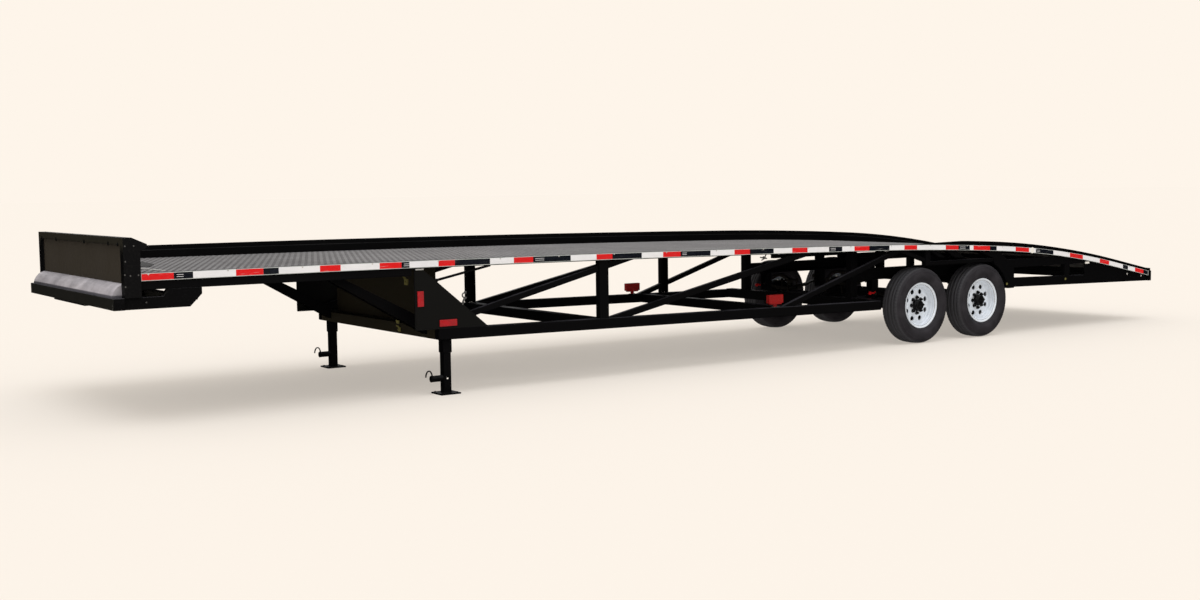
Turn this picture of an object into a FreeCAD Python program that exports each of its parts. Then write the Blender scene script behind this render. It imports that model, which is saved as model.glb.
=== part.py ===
"""Wedge-deck car transporter semi-trailer: side trusses, curved deck, kingpin nose, drop legs, tandem axle.

Millimetres. +X forward, +Y to the left, +Z up; the origin is on the floor under the middle of the part.
Every driving size is a cell of the sheet "Size"; bodies, boxes and shapes read it by its alias.
"""
import FreeCAD, Part
import math
import os
import Sketcher
from FreeCAD import Placement, Rotation, Vector

doc = FreeCAD.newDocument("car_transporter_trailer")
sheet = doc.addObject("Spreadsheet::Sheet", "Size")

# columns: alias, value, what it is
SIZES = [
    ("OverallLength", 12290, "nose beam to rear end plate"),
    ("DeckWidth", 2440, "over the marking strips"),
    ("Seam", 0.3, "gap left at a welded or seated joint"),
    ("RailGap", 1, "gap between an upright and the sloping side rail"),
    # deck line: height of the rail tops, falling towards the rear (falls in mm per metre)
    ("DeckFrontSetback", 200, "nose front face to the rails' front ends"),
    ("DeckFrontHeight", 1104, "rail top at its front end"),
    ("FrontFall", -3.5, "fall at the front end"),
    ("CrestFromRear", 4745, "where the long front arc ends"),
    ("CrestFall", 17.5, "fall there"),
    ("BendFromRear", 2745, "where the middle arc ends"),
    ("BendFall", 57.5, "fall there"),
    ("TailFromRear", 745, "where the tail arc ends"),
    ("TailFall", 197.5, "fall of the straight tail"),
    ("RearSetback", 56, "rear end plate thickness with its lamps' box"),
    ("RailDepth", 61, "side rail height"),
    ("RailWidth", 60, "side rail flange width"),
    ("RailWall", 6, "side rail wall"),
    ("StripHeight", 55, "marking strip height"),
    ("StripThick", 8, "marking strip thickness"),
    ("CurbHeight", 110, "raised curb on the right rail"),
    ("CurbStep", 68, "height of the curb's wide lower tier"),
    ("CurbWidth", 50, "lower tier width"),
    ("CurbTopWidth", 34, "upper tier width"),
    ("DeckThick", 10, "grating thickness"),
    ("DeckSections", 5, "grating sections along the deck"),
    ("CrossDepth", 48, "deck cross member depth"),
    ("CrossWidth", 50, "deck cross member width"),
    ("CrossCount", 14, "deck cross members"),
    # front
    ("BeamBottom", 985, "underside of the front side beams"),
    ("BeamGap", 22, "gusset to the front side beam's rear end"),
    ("BeamWidth", 64, "front side beam width"),
    ("NoseBottom", 848, "underside of the nose frame"),
    ("NoseDepth", 84, "nose frame tube height"),
    ("NoseTube", 80, "nose frame tube width"),
    ("NoseLength", 640, "nose frame length"),
    ("NoseRise", 240, "length of the rear block that reaches the beam"),
    ("NoseChamfer", 90, "chamfer under that block"),
    ("CouplerLength", 860, "coupler plate length"),
    ("CouplerWidth", 900, "coupler plate width"),
    ("CouplerThick", 10, "coupler plate thickness"),
    ("KingpinSetback", 420, "nose front face to kingpin axis"),
    ("KingpinRadius", 25.4, "pin groove radius"),
    ("KingpinShoulder", 36.5, "upper shoulder radius"),
    ("KingpinFlange", 35.7, "lower flange radius"),
    ("KingpinDrop", 84, "plate to the pin's lower face"),
    ("KingpinShoulderDrop", 30, "plate to the groove"),
    ("KingpinGroove", 35, "groove length"),
    ("HeadTop", 1360, "headboard top"),
    ("HeadSetback", 80, "nose front face to headboard face"),
    ("HeadPost", 58, "headboard post width and depth"),
    ("HeadRail", 54, "headboard top rail height"),
    ("PanelThick", 5, "headboard panel sheet"),
    ("PanelBottom", 1012, "lower edge of the headboard panels"),
    ("WingThick", 12, "headboard side plate"),
    ("WingWidth", 120, "side plate width"),
    ("WingLip", 50, "overhang at the side plate's top"),
    ("SheetLap", 20, "nose sheet over the panels' lower edge"),
    ("SheetLedge", 14, "flat strip at the nose sheet's top"),
    ("SheetEdge", 8, "nose front face to the nose sheet"),
    ("SheetCrown", 13, "bulge of the rounded front"),
    # side trusses
    ("ChordFrontFromNose", 2572, "nose front face to the chord's front end"),
    ("ChordRearGap", 212, "front tyre to the chord's rear end"),
    ("ChordFrontBottom", 453, "chord underside at its front end"),
    ("ChordRearBottom", 390, "chord underside at its rear end"),
    ("ChordDepth", 94, "chord height"),
    ("ChordWidth", 75, "chord width"),
    ("TrussInset", 20, "truss face inside the deck width"),
    ("PostWidth", 96, "truss post width"),
    ("PostDepth", 60, "truss post depth"),
    ("PostWall", 8, "truss post wall"),
    ("PostFromChordFront", 1640, "chord front end to the truss post"),
    ("ExtraPostFromChordEnd", 982, "right side only: second post"),
    ("WebInset", 14, "diagonals' outer face inside the truss face"),
    ("WebWidth", 44, "diagonal tube width"),
    ("DiagonalDepth", 50, "front and rear diagonal height"),
    ("HeavyDiagonalDepth", 56, "middle diagonal height"),
    ("FrontDiagonalFoot", 113, "gusset's front edge to the front diagonal's foot"),
    ("FrontDiagonalHead", 239, "truss post to the front diagonal's head"),
    ("MiddleDiagonalFoot", 164, "truss post to the middle diagonal's foot"),
    ("MiddleDiagonalHead", 1013, "chord rear end to the middle diagonal's head"),
    ("RearDiagonalFoot", 1272, "chord rear end to the rear diagonal's foot"),
    ("RearDiagonalHead", 270, "chord rear end back to the rear diagonal's head"),
    ("GussetTop", 66, "gusset length at the deck"),
    ("GussetBottom", 672, "gusset length at the chord"),
    ("GussetFront", 212, "gusset ahead of the chord's front end"),
    ("GussetThick", 10, "gusset plate"),
    ("LowerCrossDepth", 92, "lower cross member height"),
    ("LowerCrossWidth", 90, "lower cross member width"),
    ("LegBeamWidth", 130, "cross beam over the legs"),
    ("BulkheadInset", 250, "deck edge to the landing bulkhead's sheet"),
    ("BraceFoot", 877, "knee brace: bulkhead to its upper end"),
    ("BraceDepth", 100, "knee brace height"),
    ("BraceWidth", 90, "knee brace width"),
    ("BraceInset", 250, "truss face to a knee brace's middle"),
    ("BraceShoe", 130, "cross beam over the knee braces"),
    # landing legs
    ("LegFromChordFront", 99, "chord front end to leg axis"),
    ("LegInset", 45, "truss face to the leg's outer face"),
    ("LegOuter", 80, "outer tube, square"),
    ("LegWall", 6, "outer tube wall"),
    ("LegSlide", 1, "slide gap round the inner tube"),
    ("LegOuterBottom", 340, "lower edge of the outer tube"),
    ("FootSize", 180, "foot plate, square"),
    ("FootThick", 12, "foot plate thickness"),
    ("PinHeight", 130, "leg pin height"),
    ("PinRadius", 26, "leg pin housing radius"),
    ("PinLength", 105, "leg pin housing length"),
    # axles and wheels
    ("AxleFromRear", 4010, "rear end to the front axle"),
    ("AxleSpacing", 965, "between the axles"),
    ("TyreRadius", 398.5, "tyre outer radius"),
    ("TyreWidth", 233, "tyre section width"),
    ("TreadWidth", 176, "tyre tread width"),
    ("RimRadius", 238, "rim lip radius"),
    ("RimWidth", 182, "over the rim flanges"),
    ("BarrelRadius", 214, "rim barrel outer radius"),
    ("BarrelWall", 8, "rim barrel wall"),
    ("LipThick", 10, "rim flange thickness"),
    ("DiscDish", 4, "depth of the disc's dish"),
    ("DiscThick", 10, "wheel disc thickness"),
    ("DiscPlace", 12, "disc face ahead of the wheel's middle"),
    ("HandHoles", 8, "round hand holes in the disc"),
    ("HandHoleRadius", 19, "hand hole radius"),
    ("HandHoleCircle", 150, "hand hole circle radius"),
    ("LugCircle", 82.55, "wheel nut circle radius"),
    ("LugCount", 8, "wheel nuts"),
    ("LugRadius", 16, "wheel nut, over its corners"),
    ("LugHeight", 24, "wheel nut height"),
    ("HubRadius", 60, "hub cap radius"),
    ("HubReach", 78, "hub cap end ahead of the wheel's middle"),
    ("DrumRadius", 165, "brake drum radius"),
    ("DrumWidth", 92, "brake drum width"),
    ("DrumSetback", 15, "wheel's middle to the drum's face"),
    ("SpindleRadius", 38, "axle spindle radius"),
    ("RunningGap", 1, "running gap round the spindle"),
    ("AxleRadius", 63.5, "axle tube radius"),
    ("TyreInset", 10, "tyre face inside the deck width"),
    ("BackPlateRadius", 158, "brake backing plate radius"),
    ("BackPlateGap", 8, "backing plate to drum"),
    ("BackPlateThick", 8, "backing plate thickness"),
    # suspension
    ("SpringClear", 112, "tyre's inner face to the spring"),
    ("SpringWidth", 70, "leaf width"),
    ("LeafThick", 12, "one leaf"),
    ("LeafCount", 3, "leaves in a spring"),
    ("SpringRise", 62, "spring ends above its middle"),
    ("SpringReach", 385, "half of a spring's length"),
    ("HangerWidth", 90, "spring hanger along the rail"),
    ("HangerLap", 25, "spring's end to the hanger's middle"),
    ("BayRailBottom", 672, "suspension rail underside"),
    ("BayRailDepth", 120, "suspension rail height"),
    ("BayRailWall", 8, "suspension rail and hanger plates"),
    ("BayBeamDepth", 100, "wheel bay cross beam height"),
    ("BayBeamWidth", 90, "wheel bay cross beam width"),
    ("BayClear", 90, "tyre to the wheel bay cross beams"),
    ("BayFrontSetback", 10, "chord rear end to the front bay beam"),
    ("BayFrontRise", 6, "front bay beam over the chord's underside"),
    ("BayRearRise", 2, "rear bay beam over the rear rail's underside"),
    ("BayTieDepth", 42, "tie over the near tyres, height"),
    ("BayTieBottom", 812, "its underside"),
    ("BayTieWidth", 56, "its width"),
    ("BayPostWidth", 72, "post between the wheels"),
    ("BayPostFromAxle", 80, "front axle to that post"),
    ("BayStrutDepth", 40, "struts over the tie"),
    # rear
    ("RearRailDepth", 100, "rear lower rail height"),
    ("RearRailFrontBottom", 518, "rear lower rail underside at its front"),
    ("RearRailRearBottom", 468, "rear lower rail underside at its rear"),
    ("RearPostWidth", 100, "post behind the rear tyre, at its foot"),
    ("RearPostClear", 25, "rear tyre to that post"),
    ("RearFlareFront", 490, "rear tyre's back to the flare's front, ahead of it"),
    ("RearFlareRear", 150, "rear tyre's back to the flare's rear, ahead of it"),
    ("RearTopRailBottom", 732, "rear upper rail underside"),
    ("RearTopRailDepth", 92, "rear upper rail height"),
    ("RearPlateLength", 1280, "side plate at the tail"),
    ("RearPlateThick", 12, "that plate's thickness"),
    ("TailPostWidth", 90, "small post ahead of the plate"),
    ("TailPostDepth", 60, "its depth"),
    ("TailPostFromPlate", 320, "plate's front edge to that post"),
    ("EndPlateBottom", 468, "rear end plate lower edge"),
    ("LampFromChordEnd", 1422, "chord rear end to the side lamp's middle"),
    ("LampLength", 180, "side lamp length"),
    ("LampHeight", 80, "side lamp height"),
    ("LampDepth", 44, "side lamp depth"),
    ("LampRise", 40, "chord to the side lamp"),
    ("LampStem", 40, "width of the lamp's stem"),
    ("LampPlate", 12, "thickness of its bracket and stem"),
]

for row, (alias, value, meaning) in enumerate(SIZES, start=1):
    sheet.set(f"A{row}", alias)
    sheet.set(f"B{row}", str(value))
    sheet.set(f"C{row}", meaning)
    sheet.setAlias(f"B{row}", alias)
doc.recompute()


def val(expression):
    """Number that a sheet expression gives."""
    return float(doc.Size.evalExpression(expression))


def size(alias):
    return val("Size." + alias)


# ---------------------------------------------------------------- places worked out from the sheet

NOSE = size("OverallLength") / 2
REAR = -NOSE
HALF_WIDTH = size("DeckWidth") / 2
SEAM = size("Seam")
RAIL_GAP = size("RailGap")
RAIL_FACE = HALF_WIDTH - size("StripThick")
RAIL_INNER = RAIL_FACE - size("RailWidth")
TRUSS_FACE = HALF_WIDTH - size("TrussInset")
RAIL_FRONT = NOSE - size("DeckFrontSetback")
RAIL_REAR = REAR + size("RearSetback") + SEAM
AXLE_X = [REAR + size("AxleFromRear"), REAR + size("AxleFromRear") - size("AxleSpacing")]
TYRE_FRONT = AXLE_X[0] + size("TyreRadius")
TYRE_REAR = AXLE_X[1] - size("TyreRadius")
CHORD_FRONT = NOSE - size("ChordFrontFromNose")
CHORD_REAR = TYRE_FRONT + size("ChordRearGap")
BAY_FRONT = CHORD_REAR + size("BayFrontSetback")
BAY_REAR = TYRE_REAR - size("BayClear")
LEG_X = CHORD_FRONT - size("LegFromChordFront")
LEG_Y = TRUSS_FACE - size("LegInset") - size("LegOuter") / 2
GUSSET_FRONT = CHORD_FRONT + size("GussetFront")
WHEEL_Y = HALF_WIDTH - size("TyreInset") - size("TyreWidth") / 2
SIDES = (("left", 1), ("right", -1))

# deck line stations from the front: x and fall; the line between two stations is one arc
STATIONS = [
    (RAIL_FRONT, size("FrontFall")),
    (REAR + size("CrestFromRear"), size("CrestFall")),
    (REAR + size("BendFromRear"), size("BendFall")),
    (REAR + size("TailFromRear"), size("TailFall")),
    (REAR, size("TailFall")),
]


def deck_arcs():
    """Each stretch of the deck line: front x, rear x, front height, front angle, rear angle."""
    arcs = []
    height = size("DeckFrontHeight")
    for (x1, fall1), (x2, fall2) in zip(STATIONS, STATIONS[1:]):
        a1, a2 = math.atan(fall1 / 1000), math.atan(fall2 / 1000)
        arcs.append((x1, x2, height, a1, a2))
        if a1 == a2:
            height -= (x1 - x2) * math.tan(a1)
        else:
            radius = (x1 - x2) / (math.sin(a2) - math.sin(a1))
            height -= radius * (math.cos(a1) - math.cos(a2))
    return arcs


DECK_ARCS = deck_arcs()


def deck_fall(x):
    """Angle of the deck line at x, positive where it falls to the rear."""
    for x1, x2, height, a1, a2 in DECK_ARCS:
        if x >= x2 or x2 == REAR:
            share = (min(x, x1) - x1) / (x2 - x1)
            return math.asin(math.sin(a1) + share * (math.sin(a2) - math.sin(a1)))
    return a2


def deck_z(x):
    """Height of the deck line at x."""
    for x1, x2, height, a1, a2 in DECK_ARCS:
        if x >= x2 or x2 == REAR:
            if a1 == a2 or x > x1:
                return height - (x1 - x) * math.tan(a1)
            radius = (x1 - x2) / (math.sin(a2) - math.sin(a1))
            return height - radius * (math.cos(a1) - math.cos(deck_fall(x)))


def deck_edges(front, rear, drop):
    """Edges of the deck line, lowered by drop, from x = front back to x = rear."""
    cuts = [front] + [x2 for _, x2, *_ in DECK_ARCS if rear < x2 < front] + [rear]
    edges = []
    for start, end in zip(cuts, cuts[1:]):
        points = [Vector(x, 0, deck_z(x) - drop) for x in (start, (start + end) / 2, end)]
        if start <= STATIONS[-2][0]:
            edges.append(Part.LineSegment(points[0], points[2]).toShape())
        else:
            edges.append(Part.Arc(*points).toShape())
    return edges


def deck_bar(front, rear, top, bottom, y1, y2):
    """Solid that follows the deck line between two depths below it, from y1 to y2."""
    upper, lower = deck_edges(front, rear, top), deck_edges(front, rear, bottom)
    ends = [Part.makeLine(Vector(x, 0, deck_z(x) - top), Vector(x, 0, deck_z(x) - bottom))
            for x in (front, rear)]
    wire = Part.Wire(Part.__sortEdges__(upper + lower + ends))
    face = Part.Face(wire)
    face.translate(Vector(0, min(y1, y2), 0))
    return face.extrude(Vector(0, abs(y2 - y1), 0))


def chord_z(x):
    """Height of the lower chord's underside at x."""
    share = (CHORD_FRONT - x) / (CHORD_FRONT - CHORD_REAR)
    return size("ChordFrontBottom") + share * (size("ChordRearBottom") - size("ChordFrontBottom"))


# ---------------------------------------------------------------- makers of document objects

NODES = []


def keep(item, label):
    """Give a finished sub-part its label, which is its node's name."""
    item.Label = label
    NODES.append(item)
    return item


def shape_node(label, shape, placement=None):
    """Sub-part whose shape follows the deck line or another curve."""
    item = doc.addObject("Part::Feature", label)
    item.Shape = shape
    if placement:
        item.Placement = placement
    return keep(item, label)


def box(name, length, width, height, x, y, z):
    """Part::Box bound to expressions; x, y, z is its low corner."""
    item = doc.addObject("Part::Box", name)
    for prop, expression in (("Length", length), ("Width", width), ("Height", height)):
        item.setExpression(prop, expression)
    for axis, expression in (("x", x), ("y", y), ("z", z)):
        item.setExpression("Placement.Base." + axis, expression)
    return item


def compound(label, items):
    item = doc.addObject("Part::Compound", label)
    item.Links = items
    return keep(item, label)


def fuse(name, items):
    item = doc.addObject("Part::MultiFuse", name)
    item.Shapes = items
    return item


def cut(name, base, tool):
    item = doc.addObject("Part::Cut", name)
    item.Base = base
    item.Tool = tool
    return item


def origin_plane(body, role):
    return next(feature for feature in body.Origin.OriginFeatures if feature.Role == role)


def outline(body, name, role, corners):
    """Closed sketch whose corners are pairs of sheet expressions, each bound to the sketch's origin."""
    sketch = body.newObject("Sketcher::SketchObject", name)
    sketch.AttachmentSupport = [(origin_plane(body, role), "")]
    sketch.MapMode = "FlatFace"
    points = [Vector(val(across), val(along), 0) for across, along in corners]
    count = len(points)
    for i in range(count):
        sketch.addGeometry(Part.LineSegment(points[i], points[(i + 1) % count]))
    for i in range(count):
        sketch.addConstraint(Sketcher.Constraint("Coincident", i, 2, (i + 1) % count, 1))
    for i, (across, along) in enumerate(corners):
        for kind, expression in (("DistanceX", across), ("DistanceY", along)):
            number = sketch.addConstraint(Sketcher.Constraint(kind, -1, 1, i, 1, val(expression)))
            sketch.setExpression(f"Constraints[{number}]", expression)
    return sketch


def plate(name, role, corners, depth, x="0", y="0", z="0"):
    """PartDesign body: one outline padded by depth. XZ_Plane pads to -Y, XY_Plane to +Z, YZ_Plane to +X."""
    body = doc.addObject("PartDesign::Body", name)
    sketch = outline(body, name + "_outline", role, corners)
    pad = body.newObject("PartDesign::Pad", name + "_pad")
    pad.Profile = sketch
    pad.setExpression("Length", depth)
    for axis, expression in (("x", x), ("y", y), ("z", z)):
        body.setExpression("Placement.Base." + axis, expression)
    return body


def mm(value):
    """Plain number as an expression."""
    return f"({value:.6f})"


def turned_body(name, corners):
    """PartDesign body turned about its own Z axis from (radius, height) expressions."""
    body = doc.addObject("PartDesign::Body", name)
    sketch = outline(body, name + "_profile", "XZ_Plane", corners)
    turn = body.newObject("PartDesign::Revolution", name + "_turned")
    turn.Profile = sketch
    turn.ReferenceAxis = (sketch, ["V_Axis"])
    turn.Angle = 360
    return body


# ---------------------------------------------------------------- nose frame, coupler plate and kingpin

HALF = "Size.DeckWidth / 2"
TRUSS = "(Size.DeckWidth / 2 - Size.TrussInset)"
NOSE_X = "Size.OverallLength / 2"
NOSE_TOP = "(Size.NoseBottom + Size.NoseDepth)"

nose_parts = [
    box("nose_beam", "Size.NoseTube", "Size.DeckWidth", "Size.NoseDepth",
        NOSE_X + " - Size.NoseTube", "-" + HALF, "Size.NoseBottom"),
    box("nose_rear_tube", "Size.NoseTube", "Size.DeckWidth - 2 * Size.TrussInset", "Size.NoseDepth",
        NOSE_X + " - Size.NoseLength + Size.NoseChamfer", "-" + TRUSS, "Size.NoseBottom"),
]
for side, sign in SIDES:
    nose_parts.append(plate(f"nose_side_{side}", "XZ_Plane", [
        ("-Size.NoseTube / 2", "Size.NoseBottom"),
        ("-Size.NoseTube / 2", NOSE_TOP),
        ("-Size.NoseLength + Size.NoseRise + Size.NoseTube / 2", NOSE_TOP),
        ("-Size.NoseLength + Size.NoseRise", "Size.BeamBottom - Size.Seam"),
        ("-Size.NoseLength", "Size.BeamBottom - Size.Seam"),
        ("-Size.NoseLength", "Size.NoseBottom + Size.NoseChamfer"),
        ("-Size.NoseLength + Size.NoseChamfer", "Size.NoseBottom"),
    ], "Size.NoseTube", x=NOSE_X, y=TRUSS if sign > 0 else f"-{TRUSS} + Size.NoseTube"))
keep(fuse("nose_frame", nose_parts), "nose_frame")

coupler_low = "Size.NoseBottom - Size.Seam - Size.CouplerThick"
coupler = box("coupler_plate", "Size.CouplerLength", "Size.CouplerWidth", "Size.CouplerThick",
              NOSE_X + " - Size.CouplerLength - Size.Seam", "-Size.CouplerWidth / 2", coupler_low)
keep(coupler, "coupler_plate")

kingpin = turned_body("kingpin", [
    ("0", "-Size.Seam"),
    ("Size.KingpinShoulder", "-Size.Seam"),
    ("Size.KingpinShoulder", "-Size.KingpinShoulderDrop"),
    ("Size.KingpinRadius", "-Size.KingpinShoulderDrop"),
    ("Size.KingpinRadius", "-Size.KingpinShoulderDrop - Size.KingpinGroove"),
    ("Size.KingpinFlange", "-Size.KingpinShoulderDrop - Size.KingpinGroove"),
    ("Size.KingpinFlange", "-Size.KingpinDrop + 2"),
    ("Size.KingpinFlange - 2", "-Size.KingpinDrop"),
    ("0", "-Size.KingpinDrop"),
])
kingpin.setExpression("Placement.Base.x", NOSE_X + " - Size.KingpinSetback")
kingpin.setExpression("Placement.Base.z", coupler_low)
keep(kingpin, "kingpin")

# light sheet that fairs the nose beam into the headboard, between the headboard's posts
sheet_back = NOSE - size("HeadSetback") - size("HeadPost") / 2 + size("PanelThick") + 2 * SEAM
sheet_foot = size("NoseBottom") + size("NoseDepth") + SEAM
sheet_top = size("PanelBottom") + size("SheetLap")
heel, crown = Vector(sheet_back, 0, sheet_foot), Vector(sheet_back, 0, sheet_top)
ledge = Vector(sheet_back + size("SheetLedge"), 0, sheet_top - 2)
toe = Vector(NOSE - size("SheetEdge"), 0, sheet_foot)
bulge = Vector(size("SheetCrown"), 0, size("SheetCrown"))
sheet_bend = Part.Arc(ledge, (ledge + toe) / 2 + bulge, toe)
sheet_wire = Part.Wire(Part.__sortEdges__([
    Part.makeLine(toe, heel), Part.makeLine(heel, crown), Part.makeLine(crown, ledge),
    sheet_bend.toShape()]))
sheet_reach = HALF_WIDTH - size("WingThick") - size("HeadPost") - SEAM
sheet_face = Part.Face(sheet_wire)
sheet_face.translate(Vector(0, -sheet_reach, 0))
shape_node("nose_sheet", sheet_face.extrude(Vector(0, 2 * sheet_reach, 0)))

# ---------------------------------------------------------------- headboard

HEAD_X = NOSE_X + " - Size.HeadSetback"
POST_Y = "(Size.DeckWidth / 2 - Size.WingThick)"
head_foot = NOSE_TOP + " + Size.Seam"
frame_parts = [box("head_rail", "Size.HeadPost", f"2 * {POST_Y}", "Size.HeadRail",
                   HEAD_X + " - Size.HeadPost", "-" + POST_Y, "Size.HeadTop - Size.HeadRail")]
for side, sign in SIDES:
    frame_parts.append(box(f"head_post_{side}", "Size.HeadPost", "Size.HeadPost",
                           f"Size.HeadTop - ({head_foot})", HEAD_X + " - Size.HeadPost",
                           f"{POST_Y} - Size.HeadPost" if sign > 0 else "-" + POST_Y, head_foot))
frame_parts.append(box("head_stile", "Size.HeadPost / 2", "Size.HeadPost",
                       "Size.HeadTop - Size.PanelBottom", HEAD_X + " - Size.HeadPost",
                       "-Size.HeadPost / 2", "Size.PanelBottom"))
frame_parts.append(box("head_sill", "Size.HeadPost / 2", f"2 * {POST_Y}", "Size.HeadRail / 2",
                       HEAD_X + " - Size.HeadPost", "-" + POST_Y, "Size.PanelBottom"))

panel_width = f"{POST_Y} - Size.HeadPost - 2 * Size.Seam"
panel_height = "Size.HeadTop - Size.HeadRail - Size.PanelBottom - Size.Seam"
compound("headboard_panels", [
    box(f"head_panel_{side}", "Size.PanelThick", panel_width, panel_height,
        HEAD_X + " - Size.HeadPost / 2 + Size.Seam",
        "Size.Seam" if sign > 0 else f"-({panel_width}) - Size.Seam", "Size.PanelBottom")
    for side, sign in SIDES])

wing_corners = [
    ("0", head_foot), ("0", "Size.HeadTop"), ("-Size.WingWidth / 2", "Size.HeadTop"),
    ("-Size.WingWidth - Size.WingLip", "Size.HeadTop - Size.WingLip"),
    ("-Size.WingWidth - Size.WingLip + 5", "Size.HeadTop - 1.5 * Size.WingLip"),
    ("-Size.WingWidth", "Size.HeadTop - 2 * Size.WingLip"),
    ("-Size.WingWidth", head_foot),
]
for side, sign in SIDES:
    frame_parts.append(plate(f"headboard_wing_{side}", "XZ_Plane", wing_corners, "Size.WingThick", x=HEAD_X,
                             y=HALF if sign > 0 else f"-{HALF} + Size.WingThick"))
keep(fuse("headboard_frame", frame_parts), "headboard_frame")

# ---------------------------------------------------------------- side rails, strips and front side beams

for side, sign in SIDES:
    rail = deck_bar(RAIL_FRONT, RAIL_REAR, 0, size("RailDepth"), sign * RAIL_INNER, sign * RAIL_FACE)
    wall = size("RailWall")
    hollow = deck_bar(RAIL_FRONT + 1, RAIL_REAR - 1, wall, size("RailDepth") - wall,
                      sign * (RAIL_INNER - 1), sign * (RAIL_FACE - wall))
    rail = rail.cut(hollow)
    strip = deck_bar(RAIL_FRONT - SEAM, RAIL_REAR, 0, size("StripHeight"),
                     sign * (RAIL_FACE + SEAM / 3), sign * HALF_WIDTH)
    shape_node(f"marking_strip_{side}", strip)
    beam_top = deck_edges(RAIL_FRONT, GUSSET_FRONT + size("BeamGap"), size("RailDepth"))
    ends = [beam_top[0].Vertexes[0].Point, beam_top[-1].Vertexes[-1].Point]
    feet = [Vector(end.x, 0, size("BeamBottom")) for end in ends]
    beam_wire = Part.Wire(Part.__sortEdges__(beam_top + [
        Part.makeLine(ends[0], feet[0]), Part.makeLine(feet[0], feet[1]), Part.makeLine(feet[1], ends[1])]))
    beam_face = Part.Face(beam_wire)
    beam_face.translate(Vector(0, min(sign * TRUSS_FACE, sign * (TRUSS_FACE - size("BeamWidth"))), 0))
    beam = beam_face.extrude(Vector(0, size("BeamWidth"), 0))
    shape_node(f"side_rail_{side}", rail.fuse(beam).removeSplitter())

# raised curb on the right rail: a wide lower tier with a narrower one on it
curb_low = deck_bar(RAIL_FRONT, RAIL_REAR, -size("CurbStep"), -SEAM,
                    -RAIL_FACE, -(RAIL_FACE - size("CurbWidth")))
curb_high = deck_bar(RAIL_FRONT, RAIL_REAR, -size("CurbHeight"), -size("CurbStep"),
                     -RAIL_FACE, -(RAIL_FACE - size("CurbTopWidth")))
shape_node("curb_right", curb_low.fuse(curb_high).removeSplitter())

# ---------------------------------------------------------------- deck: grating sections on cross members

SECTIONS = int(size("DeckSections"))
section = (RAIL_FRONT - RAIL_REAR) / SECTIONS
grating = [deck_bar(RAIL_FRONT - i * section - SEAM, RAIL_FRONT - (i + 1) * section, 0, size("DeckThick"),
                    -(RAIL_INNER - SEAM), RAIL_INNER - SEAM) for i in range(SECTIONS)]
shape_node("deck_grating", Part.makeCompound(grating))

cross_pieces = []
cross_length = "Size.DeckWidth - 2 * (Size.StripThick + Size.RailWidth + Size.Seam)"
CROSS_COUNT = int(size("CrossCount"))
cross_first = RAIL_FRONT - size("CrossWidth")
cross_pitch = (cross_first - RAIL_REAR - size("CrossWidth")) / (CROSS_COUNT - 1)
for i in range(CROSS_COUNT):
    x = cross_first - i * cross_pitch
    bar = box(f"deck_cross_{i + 1}", "Size.CrossWidth", cross_length, "Size.CrossDepth", "0", "0", "0")
    for axis in "xyz":
        bar.setExpression("Placement.Base." + axis, None)
    tilt = Rotation(Vector(0, 1, 0), -math.degrees(deck_fall(x)))
    top = size("DeckThick") + SEAM
    corner = tilt.multVec(Vector(-size("CrossWidth") / 2, 0, -size("CrossDepth")))
    bar.Placement = Placement(Vector(x, -RAIL_INNER + SEAM, deck_z(x) - top) + corner, tilt)
    cross_pieces.append(bar)
compound("deck_cross_members", cross_pieces)

# ---------------------------------------------------------------- side trusses

chord_corners = [
    (mm(CHORD_FRONT), "Size.ChordFrontBottom"),
    (mm(CHORD_FRONT), "Size.ChordFrontBottom + Size.ChordDepth"),
    (mm(CHORD_REAR), "Size.ChordRearBottom + Size.ChordDepth"),
    (mm(CHORD_REAR), "Size.ChordRearBottom"),
]


def web_zone(front, rear, y1, y2):
    """Space between the chord's top and the side rail's underside."""
    top = deck_edges(front, rear, size("RailDepth") + SEAM)
    depth = size("ChordDepth") + SEAM
    corners = [top[0].Vertexes[0].Point, Vector(front, 0, chord_z(front) + depth),
               Vector(rear, 0, chord_z(rear) + depth), top[-1].Vertexes[-1].Point]
    lines = [Part.makeLine(a, b) for a, b in zip(corners, corners[1:])]
    face = Part.Face(Part.Wire(Part.__sortEdges__(top + lines)))
    face.translate(Vector(0, min(y1, y2), 0))
    return face.extrude(Vector(0, abs(y2 - y1), 0))


def diagonal(foot_x, top_x, depth, y1, y2):
    """Sloping tube from the chord at foot_x up to the rail at top_x, cut to both."""
    reach = 200
    foot = Vector(foot_x, 0, chord_z(foot_x) + size("ChordDepth"))
    head = Vector(top_x, 0, deck_z(top_x) - size("RailDepth"))
    along = (head - foot).normalize()
    across = Vector(-along.z, 0, along.x) * (depth / 2)
    start, end = foot - along * reach, head + along * reach
    corners = [start + across, end + across, end - across, start - across]
    face = Part.Face(Part.makePolygon(corners + corners[:1]))
    face.translate(Vector(0, min(y1, y2), 0))
    bar = face.extrude(Vector(0, abs(y2 - y1), 0))
    ends = sorted((foot_x, top_x))
    zone = web_zone(ends[1] + reach, ends[0] - reach, y1, y2)
    return bar.common(zone)


def channel_post(x, low, high, y_face, sign, width, depth, wall):
    """Upright channel with its back to the outside and its flanges inward."""
    back = Part.makeBox(width, depth, high - low)
    back.translate(Vector(x - width / 2, y_face - depth if sign > 0 else -y_face, low))
    hollow = Part.makeBox(width - 2 * wall, depth, high - low + 2)
    hollow_y = y_face - depth - wall if sign > 0 else -y_face + wall
    hollow.translate(Vector(x - width / 2 + wall, hollow_y, low - 1))
    return back.cut(hollow)


POST_X = CHORD_FRONT - size("PostFromChordFront")
EXTRA_POST_X = CHORD_REAR + size("ExtraPostFromChordEnd")
clear = size("PostWidth") / 2
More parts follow.
